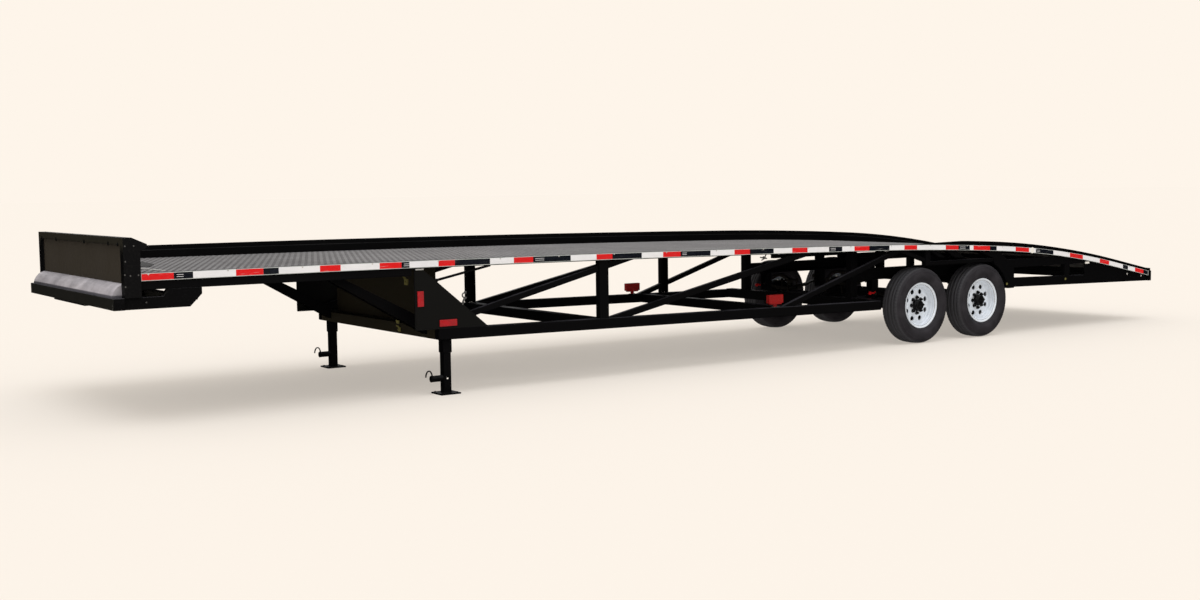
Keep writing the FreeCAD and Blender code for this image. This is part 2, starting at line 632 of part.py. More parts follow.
# columns: foot x on the chord, head x on the rail, depth
DIAGONALS = [
    (GUSSET_FRONT - size("FrontDiagonalFoot"), POST_X - size("FrontDiagonalHead"),
     size("DiagonalDepth")),
    (POST_X - size("MiddleDiagonalFoot"), CHORD_REAR + size("MiddleDiagonalHead"),
     size("HeavyDiagonalDepth")),
    (CHORD_REAR + size("RearDiagonalFoot"), CHORD_REAR - size("RearDiagonalHead"),
     size("DiagonalDepth")),
]
for side, sign in SIDES:
    keep(plate(f"lower_chord_{side}", "XZ_Plane", chord_corners, "Size.ChordWidth",
               y=TRUSS if sign > 0 else f"-{TRUSS} + Size.ChordWidth"), f"lower_chord_{side}")
    web_out = TRUSS_FACE - size("WebInset")
    web_sides = (sign * (web_out - size("WebWidth")), sign * web_out)
    web = []
    posts = [POST_X] + ([EXTRA_POST_X] if sign < 0 else [])
    for x in posts:
        low = chord_z(x - clear) - 20
        post = channel_post(x, low, deck_z(x), TRUSS_FACE, sign,
                            size("PostWidth"), size("PostDepth"), size("PostWall"))
        web.append(post.common(web_zone(x + clear + 5, x - clear - 5, -sign * 5000, sign * 5000)))
    for foot_x, head_x, depth in DIAGONALS:
        bar = diagonal(foot_x, head_x, depth, *web_sides)
        for post in posts:
            room = Part.makeBox(size("PostWidth") + 2 * SEAM, 400, 1500)
            room.translate(Vector(post - clear - SEAM, sign * TRUSS_FACE - 200, 300))
            bar = bar.cut(room)
        web.extend(bar.Solids)
    shape_node(f"truss_web_{side}", Part.makeCompound(web))

# lower cross members between the chords: under the posts and at the rear diagonals' feet
cross_reach = "Size.DeckWidth - 2 * (Size.TrussInset + Size.ChordWidth + Size.Seam)"
LOWER_CROSS_X = [POST_X, CHORD_REAR + size("RearDiagonalFoot")]
lower_cross = []
for number, x in enumerate(LOWER_CROSS_X, start=1):
    lower_cross.append(box(f"lower_cross_{number}", "Size.LowerCrossWidth", cross_reach,
                           "Size.LowerCrossDepth", mm(x - size("LowerCrossWidth") / 2),
                           f"-({cross_reach}) / 2", mm(chord_z(x))))
compound("lower_cross_members", lower_cross)

# ---------------------------------------------------------------- landing box: gussets, bulkhead, knee braces

gusset_fall = (size("ChordFrontBottom") - size("ChordRearBottom")) / (CHORD_FRONT - CHORD_REAR)
gusset_low = f"(Size.ChordFrontBottom + Size.ChordDepth + Size.Seam + Size.GussetFront * {mm(gusset_fall)})"
gusset_top = min(deck_z(GUSSET_FRONT), deck_z(GUSSET_FRONT - size("GussetTop")))
gusset_high = f"{mm(gusset_top)} - Size.RailDepth - Size.RailGap"
gusset_corners = [
    ("0", gusset_low), ("0", gusset_high), ("-Size.GussetTop", gusset_high),
    ("-Size.GussetBottom", f"{gusset_low} - Size.GussetBottom * {mm(gusset_fall)}"),
]
for side, sign in SIDES:
    keep(plate(f"gusset_{side}", "XZ_Plane", gusset_corners, "Size.GussetThick", x=mm(GUSSET_FRONT),
               y=TRUSS if sign > 0 else f"-{TRUSS} + Size.GussetThick"), f"gusset_{side}")

bulk_low = chord_z(LEG_X + size("GussetThick")) + size("ChordDepth") + SEAM
leg_beam = box("leg_beam", "Size.LegBeamWidth", cross_reach, "Size.LowerCrossDepth",
               mm(CHORD_FRONT) + " - Size.LegBeamWidth", f"-({cross_reach}) / 2",
               mm(bulk_low) + " - Size.LowerCrossDepth")

BULK_X = LEG_X + size("LegOuter") / 2 + 40
bulk_high = min(deck_z(BULK_X), deck_z(BULK_X + 10)) - size("DeckThick") - size("CrossDepth") - 6
bulkhead = box("bulkhead_sheet", "Size.GussetThick", "Size.DeckWidth - 2 * Size.BulkheadInset",
               mm(bulk_high - bulk_low), mm(LEG_X) + " - Size.GussetThick / 2",
               "-Size.DeckWidth / 2 + Size.BulkheadInset", mm(bulk_low))
keep(fuse("landing_bulkhead", [leg_beam, bulkhead]), "landing_bulkhead")

brace_top_x = CHORD_FRONT + size("BraceFoot")
brace_foot_x = CHORD_FRONT + SEAM
brace_shoe_x = brace_top_x - size("BraceShoe")
foot_z = chord_z(LEG_X) + size("LowerCrossDepth") - 10
brace_corners = [
    (mm(brace_foot_x), mm(foot_z - size("BraceDepth") / 2)),
    (mm(brace_foot_x), mm(foot_z + size("BraceDepth") * 0.7)),
    (mm(brace_shoe_x), "Size.BeamBottom"), (mm(brace_top_x), "Size.BeamBottom"),
]
braces = []
for side, sign in SIDES:
    braces.append(plate(f"knee_brace_{side}", "XZ_Plane", brace_corners, "Size.BraceWidth",
                        y=f"({TRUSS} - Size.BraceInset) * {sign} + Size.BraceWidth / 2"))
brace_beam_low = size("BeamBottom") + SEAM
brace_beam_high = deck_z(brace_shoe_x) - size("DeckThick") - size("CrossDepth") - 3
brace_beam_end = "Size.TrussInset + Size.BeamWidth + Size.Seam"
brace_beam = box("brace_beam", "Size.BraceShoe", f"Size.DeckWidth - 2 * ({brace_beam_end})",
                 mm(brace_beam_high - brace_beam_low), mm(brace_shoe_x),
                 f"-Size.DeckWidth / 2 + {brace_beam_end}", mm(brace_beam_low))
compound("knee_braces", braces + [brace_beam])

# ---------------------------------------------------------------- landing legs

leg_top = mm(chord_z(LEG_X - size("LegOuter") / 2) - SEAM)
leg_bore = "(Size.LegOuter - 2 * Size.LegWall)"
inner_size = f"({leg_bore} - 2 * Size.LegSlide)"
for side, sign in SIDES:
    leg_y = mm(sign * LEG_Y)
    outer = box(f"leg_outer_{side}_block", "Size.LegOuter", "Size.LegOuter",
                f"{leg_top} - Size.LegOuterBottom", mm(LEG_X) + " - Size.LegOuter / 2",
                leg_y + " - Size.LegOuter / 2", "Size.LegOuterBottom")
    hollow = box(f"leg_outer_{side}_bore", leg_bore, leg_bore, f"{leg_top} - Size.LegOuterBottom",
                 f"{mm(LEG_X)} - {leg_bore} / 2", f"{leg_y} - {leg_bore} / 2",
                 "Size.LegOuterBottom - Size.LegWall")
    keep(cut(f"leg_outer_{side}", outer, hollow), f"leg_outer_{side}")
    inner = box(f"leg_inner_{side}_tube", inner_size, inner_size,
                f"{leg_top} - Size.LegWall - Size.Seam - Size.FootThick",
                f"{mm(LEG_X)} - {inner_size} / 2", f"{leg_y} - {inner_size} / 2", "Size.FootThick")
    foot = box(f"leg_foot_{side}", "Size.FootSize", "Size.FootSize", "Size.FootThick",
               f"{mm(LEG_X)} - Size.FootSize / 2", leg_y + " - Size.FootSize / 2", "0")
    pin = doc.addObject("Part::Cylinder", f"leg_pin_{side}")
    pin.setExpression("Radius", "Size.PinRadius")
    pin.setExpression("Height", "Size.PinLength + 10")
    pin.Placement = Placement(Vector(0, 0, 0), Rotation(Vector(0, 1, 0), 90))
    pin.setExpression("Placement.Base.x", f"{mm(LEG_X)} + {inner_size} / 2 - 10")
    pin.setExpression("Placement.Base.y", leg_y)
    pin.setExpression("Placement.Base.z", "Size.PinHeight")
    keep(fuse(f"leg_inner_{side}", [inner, foot, pin]), f"leg_inner_{side}")

# ---------------------------------------------------------------- wheel bay: beams, uprights and rails

SPRING = "(Size.DeckWidth / 2 - Size.TyreInset - Size.TyreWidth - Size.SpringClear - Size.SpringWidth / 2)"
half_spring = val(SPRING)
BAY_BEAMS = [
    ("front", BAY_FRONT, chord_z(CHORD_REAR) + size("BayFrontRise")),
    ("rear", BAY_REAR - size("BayBeamWidth"), size("RearRailFrontBottom") + size("BayRearRise")),
]
rail_low, rail_high = size("BayRailBottom"), size("BayRailBottom") + size("BayRailDepth")
bay_rail_front, bay_rail_rear = BAY_FRONT - SEAM, BAY_REAR + SEAM
for end, x, low in BAY_BEAMS:
    parts = [box(f"bay_beam_{end}", "Size.BayBeamWidth", cross_reach, "Size.BayBeamDepth",
                 mm(x), f"-({cross_reach}) / 2", mm(low))]
    top = min(deck_z(x), deck_z(x + size("BayBeamWidth"))) - size("RailDepth") - RAIL_GAP
    for side, sign in SIDES:
        parts.append(box(f"bay_upright_{end}_{side}", "Size.BayBeamWidth", "Size.SpringWidth",
                         mm(top - low), mm(x), f"{sign} * {SPRING} - Size.SpringWidth / 2", mm(low)))
    keep(fuse(f"bay_frame_{end}", parts), f"bay_frame_{end}")
MID_X = (AXLE_X[0] + AXLE_X[1]) / 2
bay_rail_length = bay_rail_front - bay_rail_rear
wall = size("BayRailWall")
bay_rails = {}
for side, sign in SIDES:
    spring_y = sign * half_spring - size("SpringWidth") / 2
    rail = Part.makeBox(bay_rail_length, size("SpringWidth"), rail_high - rail_low)
    rail.translate(Vector(bay_rail_rear, spring_y, rail_low))
    hollow = Part.makeBox(bay_rail_length + 2, size("SpringWidth"), rail_high - rail_low - 2 * wall)
    hollow.translate(Vector(bay_rail_rear - 1, spring_y - sign * wall, rail_low + wall))
    post_top = deck_z(MID_X - size("PostWidth") / 2) - size("RailDepth") - RAIL_GAP
    post = Part.makeBox(size("PostWidth"), size("SpringWidth"), post_top - rail_high)
    post.translate(Vector(MID_X - size("PostWidth") / 2, spring_y, rail_high))
    bay_rails[side] = rail.cut(hollow).fuse(post)

# ---------------------------------------------------------------- ties over the tyres, posts and struts

TIE_TOP = size("BayTieBottom") + size("BayTieDepth")
BAY_POST_X = AXLE_X[0] - size("BayPostFromAxle")
bay_post_front = BAY_POST_X + size("BayPostWidth") / 2
bay_post_rear = BAY_POST_X - size("BayPostWidth") / 2
TIE_REAR = TYRE_REAR + size("RearFlareFront") / 2 + SEAM


def strut(foot_x, head_x, depth, y1, y2, front, rear):
    """Sloping bar from the tie's top at foot_x to the side rail at head_x, between front and rear."""
    foot = Vector(foot_x, 0, TIE_TOP)
    head = Vector(head_x, 0, deck_z(head_x) - size("RailDepth"))
    along = (head - foot).normalize()
    across = Vector(-along.z, 0, along.x) * (depth / 2)
    start, end = foot - along * 90, head + along * 90
    corners = [start + across, end + across, end - across, start - across]
    face = Part.Face(Part.makePolygon(corners + corners[:1]))
    face.translate(Vector(0, min(y1, y2), 0))
    room = deck_bar(front, rear, size("RailDepth") + SEAM, deck_z(rear) - TIE_TOP + 2, y1 - 50, y1 + 500)
    base = Part.makeBox(front - rear, 3000, TIE_TOP)
    base.translate(Vector(rear, -1500, 0))
    return face.extrude(Vector(0, abs(y2 - y1), 0)).common(room).cut(base)


# columns: foot x on the tie, head x on the side rail, height as a share of the strut size, limits
before, behind = (bay_post_front + 600, bay_post_front - 10), (bay_post_rear + 10, TIE_REAR)
TIE_STRUTS = [
    (bay_post_front - 60, CHORD_REAR - size("RearDiagonalHead") - 20, 1.0, *before),
    (bay_post_rear - 270, bay_post_rear - 40, 1.0, *behind),
    (AXLE_X[1] + 330, AXLE_X[1] + 530, 1.6, *behind),
]
for side, sign in SIDES:
    y1, y2 = sign * (TRUSS_FACE - size("BayTieWidth")), sign * TRUSS_FACE
    tie = Part.makeBox(bay_post_front - TIE_REAR, size("BayTieWidth"), size("BayTieDepth"))
    tie.translate(Vector(TIE_REAR, min(y1, y2), size("BayTieBottom")))
    post_high = deck_z(bay_post_rear) - size("RailDepth") - RAIL_GAP
    bay_post = Part.makeBox(size("BayPostWidth"), size("BayTieWidth"), post_high - size("BayTieBottom"))
    bay_post.translate(Vector(bay_post_rear, min(y1, y2), size("BayTieBottom")))
    pieces = [bay_post]
    for foot_x, head_x, share, front, rear in TIE_STRUTS:
        pieces.append(strut(foot_x, head_x, share * size("BayStrutDepth"),
                            y1 + sign * 6, y2 - sign * 6, front, rear))
    foot_x, head_x, depth = DIAGONALS[2]
    beside = diagonal(foot_x, head_x, depth + 2 * SEAM, y1, y2)
    shape_node(f"bay_tie_{side}", tie.fuse(pieces).cut(beside).removeSplitter())

# ---------------------------------------------------------------- springs, hangers, equalizers, axles

SPRING_SEAT = size("TyreRadius") + size("AxleRadius") + SEAM


def leaf_spring(x):
    """Leaf pack over the axle at x: arcs that rise to both ends, shorter leaves below."""
    leaves = None
    thick, rise, reach = size("LeafThick"), size("SpringRise"), size("SpringReach")
    count = int(size("LeafCount"))
    for i in range(count):
        share = 1 - 0.28 * (count - 1 - i)
        span, lift = reach * share, rise * share * share
        low = SPRING_SEAT + i * thick
        under = [Vector(x + span, 0, low + lift), Vector(x, 0, low), Vector(x - span, 0, low + lift)]
        over = [point + Vector(0, 0, thick) for point in under]
        wire = Part.Wire([Part.Arc(*under).toShape(), Part.makeLine(under[2], over[2]),
                          Part.Arc(over[2], over[1], over[0]).toShape(), Part.makeLine(over[0], under[0])])
        leaf = Part.Face(wire).extrude(Vector(0, size("SpringWidth"), 0))
        leaves = leaf if leaves is None else leaves.fuse(leaf)
    return leaves


spring_top = SPRING_SEAT + size("LeafThick") * size("LeafCount")
hanger_low = spring_top - 20
hanger_width = size("HangerWidth")
hanger_reach = size("SpringReach") - size("HangerLap")
HANGER_X = [AXLE_X[0] + hanger_reach, MID_X, AXLE_X[1] - hanger_reach]
for side, sign in SIDES:
    y_low = sign * half_spring - size("SpringWidth") / 2
    springs = []
    for x in AXLE_X:
        spring = leaf_spring(x)
        spring.translate(Vector(0, y_low, 0))
        springs.append(spring)
    shape_node(f"leaf_springs_{side}", Part.makeCompound(springs))
    hangers = []
    for x in HANGER_X:
        outer = Part.makeBox(hanger_width, size("SpringWidth") + 2 * (wall + SEAM), rail_low - hanger_low)
        outer.translate(Vector(x - hanger_width / 2, y_low - wall - SEAM, hanger_low))
        slot = Part.makeBox(hanger_width + 2, size("SpringWidth") + 2 * SEAM, rail_low - hanger_low)
        slot.translate(Vector(x - hanger_width / 2 - 1, y_low - SEAM, hanger_low - wall))
        hangers.append(outer.cut(slot))
    shape_node(f"suspension_rail_{side}", bay_rails[side].fuse(hangers).removeSplitter())



def turned_bar(radius, length, x, y):
    """Round bar across the trailer at an axle's height, from y to the left."""
    return Part.makeCylinder(radius, length, Vector(x, y, size("TyreRadius")), Vector(0, 1, 0))


back_y = WHEEL_Y - size("DrumSetback") - size("DrumWidth") - size("BackPlateGap")
spindle_end = WHEEL_Y + size("HubReach") - 30
for name, x in (("front", AXLE_X[0]), ("rear", AXLE_X[1])):
    axle = turned_bar(size("AxleRadius"), 2 * back_y, x, -back_y)
    axle = axle.fuse(turned_bar(size("SpindleRadius"), 2 * spindle_end, x, -spindle_end))
    for y in (back_y - size("BackPlateThick"), -back_y):
        axle = axle.fuse(turned_bar(size("BackPlateRadius"), size("BackPlateThick"), x, y))
    shape_node(f"axle_{name}", axle.removeSplitter())

# ---------------------------------------------------------------- wheels


def hole_ring(body, name, radius, circle, count):
    """Round holes cut through the disc, repeated about the wheel's axis."""
    sketch = body.newObject("Sketcher::SketchObject", name + "_sketch")
    sketch.AttachmentSupport = [(origin_plane(body, "XY_Plane"), "")]
    sketch.MapMode = "FlatFace"
    sketch.addGeometry(Part.Circle(Vector(size(circle), 0, 0), Vector(0, 0, 1), size(radius)))
    sketch.addConstraint(Sketcher.Constraint("PointOnObject", 0, 3, -1))
    place = sketch.addConstraint(Sketcher.Constraint("DistanceX", -1, 1, 0, 3, size(circle)))
    sketch.setExpression(f"Constraints[{place}]", "Size." + circle)
    width = sketch.addConstraint(Sketcher.Constraint("Radius", 0, size(radius)))
    sketch.setExpression(f"Constraints[{width}]", "Size." + radius)
    feature = body.newObject("PartDesign::Pocket", name)
    feature.Type = 1
    feature.Midplane = True
    feature.Profile = sketch
    ring(body, feature, sketch, count)


def hexagons(body, name, radius, circle, count, reach):
    """Hexagonal nuts on the disc, repeated about the wheel's axis."""
    corners = [(f"Size.{circle} + Size.{radius} * cos({angle} deg)", f"Size.{radius} * sin({angle} deg)")
               for angle in range(0, 360, 60)]
    sketch = outline(body, name + "_sketch", "XY_Plane", corners)
    sketch.setExpression("AttachmentOffset.Base.z", "Size.DiscPlace - Size.DiscThick / 2")
    feature = body.newObject("PartDesign::Pad", name)
    feature.Profile = sketch
    feature.setExpression("Length", reach)
    ring(body, feature, sketch, count)


def ring(body, feature, sketch, count):
    """Repeats a feature about its sketch's normal."""
    name = feature.Name
    pattern = body.newObject("PartDesign::PolarPattern", name + "_ring")
    pattern.Originals = [feature]
    pattern.Axis = (sketch, ["N_Axis"])
    pattern.Angle = 360
    pattern.setExpression("Occurrences", "Size." + count)
    body.Tip = pattern


TYRE_HALF = "Size.TyreWidth / 2"
RIM_HALF = "Size.RimWidth / 2"


def tyre(name):
    upper = [
        ("Size.BarrelRadius + Size.Seam", f"{RIM_HALF} - Size.LipThick - Size.Seam"),
        ("Size.RimRadius + 2", f"{RIM_HALF} - Size.LipThick - Size.Seam"),
        ("Size.RimRadius + 26", f"{TYRE_HALF} - 8"),
        ("(Size.RimRadius + Size.TyreRadius) / 2", TYRE_HALF),
        ("Size.TyreRadius - 34", f"{TYRE_HALF} - 5"),
        ("Size.TyreRadius - 8", "Size.TreadWidth / 2 + 8"),
        ("Size.TyreRadius", "Size.TreadWidth / 2 - 10"),
    ]
    lower = [(radius, f"-({height})") for radius, height in reversed(upper)]
    return turned_body(name, upper + lower)


def rim(name):
    body = turned_body(name, [
        ("Size.BarrelRadius", f"{RIM_HALF} - Size.LipThick"),
        ("Size.RimRadius", f"{RIM_HALF} - Size.LipThick"),
        ("Size.RimRadius", RIM_HALF), ("Size.BarrelRadius - Size.BarrelWall", RIM_HALF),
        ("Size.BarrelRadius - Size.BarrelWall", "Size.DiscPlace - Size.DiscDish"),
        ("Size.HandHoleCircle", "Size.DiscPlace + Size.DiscDish"),
        ("Size.LugCircle + 35", "Size.DiscPlace"), ("Size.HubRadius + 1", "Size.DiscPlace"),
        ("Size.HubRadius + 1", "Size.DiscPlace - Size.DiscThick"),
        ("Size.LugCircle + 35", "Size.DiscPlace - Size.DiscThick"),
        ("Size.HandHoleCircle", "Size.DiscPlace + Size.DiscDish - Size.DiscThick"),
        ("Size.BarrelRadius - Size.BarrelWall", "Size.DiscPlace - Size.DiscDish - Size.DiscThick"),
        ("Size.BarrelRadius - Size.BarrelWall", f"-{RIM_HALF}"), ("Size.RimRadius", f"-{RIM_HALF}"),
        ("Size.RimRadius", f"Size.LipThick - {RIM_HALF}"),
        ("Size.BarrelRadius", f"Size.LipThick - {RIM_HALF}"),
    ])
    doc.recompute()
    hole_ring(body, name + "_hand_hole", "HandHoleRadius", "HandHoleCircle", "HandHoles")
    doc.recompute()
    hexagons(body, name + "_nut", "LugRadius", "LugCircle", "LugCount",
             "Size.DiscThick / 2 + Size.LugHeight")
    return body


def hub(name):
    """Brake drum, hub and cap in one, hollow round the spindle."""
    inner = "Size.SpindleRadius + Size.RunningGap"
    face = "Size.DiscPlace - Size.DiscThick - Size.Seam"
    drum_back = "-Size.DrumSetback - Size.DrumWidth"
    return turned_body(name, [
        (inner, drum_back), ("Size.DrumRadius", drum_back), ("Size.DrumRadius", "-Size.DrumSetback"),
        ("Size.DrumRadius - 30", face), ("Size.HubRadius", face),
        ("Size.HubRadius", "Size.HubReach - 8"), ("Size.HubRadius - 8", "Size.HubReach"),
        ("0", "Size.HubReach"), ("0", "Size.HubReach - 20"), (inner, "Size.HubReach - 20"),
    ])


for side, sign in SIDES:
    facing = Rotation(Vector(1, 0, 0), -90 * sign)
    for end, x in (("front", AXLE_X[0]), ("rear", AXLE_X[1])):
        for make in (tyre, rim, hub):
            label = f"{make.__name__}_{end}_{side}"
            body = make(label)
            body.Placement = Placement(Vector(x, sign * WHEEL_Y, size("TyreRadius")), facing)
            keep(body, label)

# ---------------------------------------------------------------- tail: posts, rails, side plates, end plate



def rear_z(x):
    """Height of the rear lower rail's underside at x."""
    share = (BAY_REAR - x) / (BAY_REAR - REAR)
    return size("RearRailFrontBottom") + share * (size("RearRailRearBottom") - size("RearRailFrontBottom"))


for side, sign in SIDES:
    y_in, y_out = sign * (TRUSS_FACE - size("ChordWidth")), sign * TRUSS_FACE
    rail_end = RAIL_REAR
    rail_rise = Vector(0, 0, size("RearRailDepth"))
    low_front, low_rear = Vector(BAY_REAR, 0, rear_z(BAY_REAR)), Vector(rail_end, 0, rear_z(rail_end))
    corners = [low_front, low_front + rail_rise, low_rear + rail_rise, low_rear]
    face = Part.Face(Part.makePolygon(corners + corners[:1]))
    face.translate(Vector(0, min(y_in, y_out), 0))
    rail = face.extrude(Vector(0, abs(y_out - y_in), 0))
    # post behind the rear tyre: its front edge follows the tyre, and it flares out under the deck
    rail_under = size("RailDepth") + SEAM
    flare = [Vector(x, 0, deck_z(x) - rail_under - RAIL_GAP)
             for x in (TYRE_REAR + size("RearFlareFront"), TYRE_REAR + size("RearFlareRear"))]
    tie_top = size("BayTieBottom") + size("BayTieDepth")
    reach = size("TyreRadius") + size("RearPostClear")
    edge = [Vector(AXLE_X[1] - reach * math.sin(a), 0, size("TyreRadius") + reach * math.cos(a))
            for a in (math.radians(angle) for angle in (24, 37, 50, 63, 75))]
    post = [flare[0], Vector(TYRE_REAR + size("RearFlareFront") / 2, 0, tie_top)] + edge + [
        Vector(edge[-1].x - size("RearPostWidth"), 0, edge[-1].z),
        Vector(edge[-1].x - size("RearPostWidth"), 0, size("RearTopRailBottom") + 10),
        Vector(TYRE_REAR, 0, size("RearTopRailBottom") + size("RearTopRailDepth")), flare[1]]
    post_face = Part.Face(Part.makePolygon(post + post[:1]))
    post_face.translate(Vector(0, min(y_in, y_out), 0))
    post = post_face.extrude(Vector(0, abs(y_out - y_in), 0))
    tail_x = REAR + size("RearPlateLength")
    web = deck_bar(tail_x, rail_end, rail_under, 600, sign * (TRUSS_FACE - size("RearPlateThick")), y_out)
    slab = [Vector(tail_x + 1, 0, rear_z(tail_x) + 20), Vector(rail_end - 1, 0, rear_z(rail_end) + 20),
            Vector(rail_end - 1, 0, 2000), Vector(tail_x + 1, 0, 2000)]
    slab_face = Part.Face(Part.makePolygon(slab + slab[:1]))
    slab_face.translate(Vector(0, -3000, 0))
    web = web.common(slab_face.extrude(Vector(0, 6000, 0)))
    small_x = tail_x + size("TailPostFromPlate")
    top_rail = Part.makeBox(TYRE_REAR - tail_x, abs(y_out - y_in), size("RearTopRailDepth"))
    top_rail.translate(Vector(tail_x - 1, min(y_in, y_out), size("RearTopRailBottom")))
    small_low = rear_z(small_x) + size("RearRailDepth") - 5
    small = channel_post(small_x, small_low, deck_z(small_x), TRUSS_FACE, sign,
                         size("TailPostWidth"), size("TailPostDepth"), size("PostWall"))
    small = small.common(deck_bar(small_x + 100, small_x - 100, rail_under, 900, -3000, 3000))
    under_rail = deck_bar(TYRE_REAR + size("RearFlareFront") + 50, rail_end, rail_under, 900, -3000, 3000)
    frame = rail.fuse([post, web, small, top_rail]).common(under_rail)
    shape_node(f"rear_frame_{side}", frame.removeSplitter())

keep(box("rear_end_plate", "Size.RearSetback", "Size.DeckWidth",
         f"{mm(deck_z(RAIL_REAR))} - Size.EndPlateBottom",
         "-Size.OverallLength / 2", "-" + HALF, "Size.EndPlateBottom"), "rear_end_plate")

# ---------------------------------------------------------------- side lamps

LAMP_LENGTH, LAMP_HEIGHT, LAMP_DEPTH = size("LampLength"), size("LampHeight"), size("LampDepth")
LAMP_STEM, LAMP_PLATE = size("LampStem"), size("LampPlate")
lamp_x = CHORD_REAR + size("LampFromChordEnd")
lamp_low = chord_z(lamp_x - LAMP_LENGTH / 2) + size("ChordDepth") + size("LampRise")
for side, sign in SIDES:
    middle = sign * (TRUSS_FACE - 40)
    bracket = Part.makeBox(LAMP_LENGTH * 0.8, LAMP_DEPTH - 4, LAMP_PLATE)
    bracket.translate(Vector(lamp_x - LAMP_LENGTH * 0.4, middle - LAMP_DEPTH / 2 + 2,
                             lamp_low - LAMP_PLATE))
    stem_low = chord_z(lamp_x + LAMP_STEM / 2) + size("ChordDepth") + SEAM
    stem = Part.makeBox(LAMP_STEM, LAMP_PLATE, lamp_low - LAMP_PLATE / 2 - stem_low)
    stem.translate(Vector(lamp_x - LAMP_STEM / 2, middle - LAMP_PLATE / 2, stem_low))
    lamp = Part.makeBox(LAMP_LENGTH, LAMP_DEPTH, LAMP_HEIGHT)
    lamp.translate(Vector(lamp_x - LAMP_LENGTH / 2, middle - LAMP_DEPTH / 2, lamp_low))
    shape_node(f"side_lamp_{side}", bracket.fuse([stem, lamp]).removeSplitter())

# ---------------------------------------------------------------- check and write

doc.recompute()
for item in doc.Objects:
    if "Invalid" in item.State or "Error" in item.State:
        raise RuntimeError(f"{item.Name} failed: {item.State}")
os.makedirs("parts", exist_ok=True)
for item in NODES:
    shape = item.Shape
    if shape.isNull() or not shape.isValid():
        raise RuntimeError(f"{item.Label} has no valid shape")
    shape.exportStep(f"parts/{item.Label}.step")
print(len(NODES), "sub-parts written")
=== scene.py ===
import math
import bmesh
import bpy
import numpy as np
from mathutils import Matrix, Vector


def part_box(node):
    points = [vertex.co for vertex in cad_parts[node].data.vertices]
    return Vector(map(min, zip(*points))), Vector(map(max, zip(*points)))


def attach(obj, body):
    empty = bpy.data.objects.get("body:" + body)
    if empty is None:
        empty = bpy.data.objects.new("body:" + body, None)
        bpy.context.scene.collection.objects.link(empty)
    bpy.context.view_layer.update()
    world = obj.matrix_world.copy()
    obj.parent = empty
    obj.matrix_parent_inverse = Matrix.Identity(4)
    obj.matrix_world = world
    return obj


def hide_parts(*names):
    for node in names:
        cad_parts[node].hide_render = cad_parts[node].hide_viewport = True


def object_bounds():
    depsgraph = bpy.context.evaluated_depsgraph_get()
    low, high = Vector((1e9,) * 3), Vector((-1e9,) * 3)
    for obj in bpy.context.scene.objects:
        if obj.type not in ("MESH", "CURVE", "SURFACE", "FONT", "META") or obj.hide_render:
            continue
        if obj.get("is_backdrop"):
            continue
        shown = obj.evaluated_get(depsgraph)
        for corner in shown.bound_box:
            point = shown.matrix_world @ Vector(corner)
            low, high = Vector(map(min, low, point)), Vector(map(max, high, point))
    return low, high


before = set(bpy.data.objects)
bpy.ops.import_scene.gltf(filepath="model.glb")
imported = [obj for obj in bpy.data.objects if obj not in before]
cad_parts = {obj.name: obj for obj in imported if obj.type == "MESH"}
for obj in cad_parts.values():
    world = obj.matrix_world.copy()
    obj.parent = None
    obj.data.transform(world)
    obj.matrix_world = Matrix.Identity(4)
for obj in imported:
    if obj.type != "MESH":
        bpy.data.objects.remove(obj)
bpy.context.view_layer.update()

# -------- welded frame in black paint
# Truss chords, posts, side beams, axles and legs: rolled steel, welded up and sprayed in gloss black.
# The paint carries a little dust and a painted highlight on its upper faces, and small dull scuffs; the
# rolling rounds the edges.


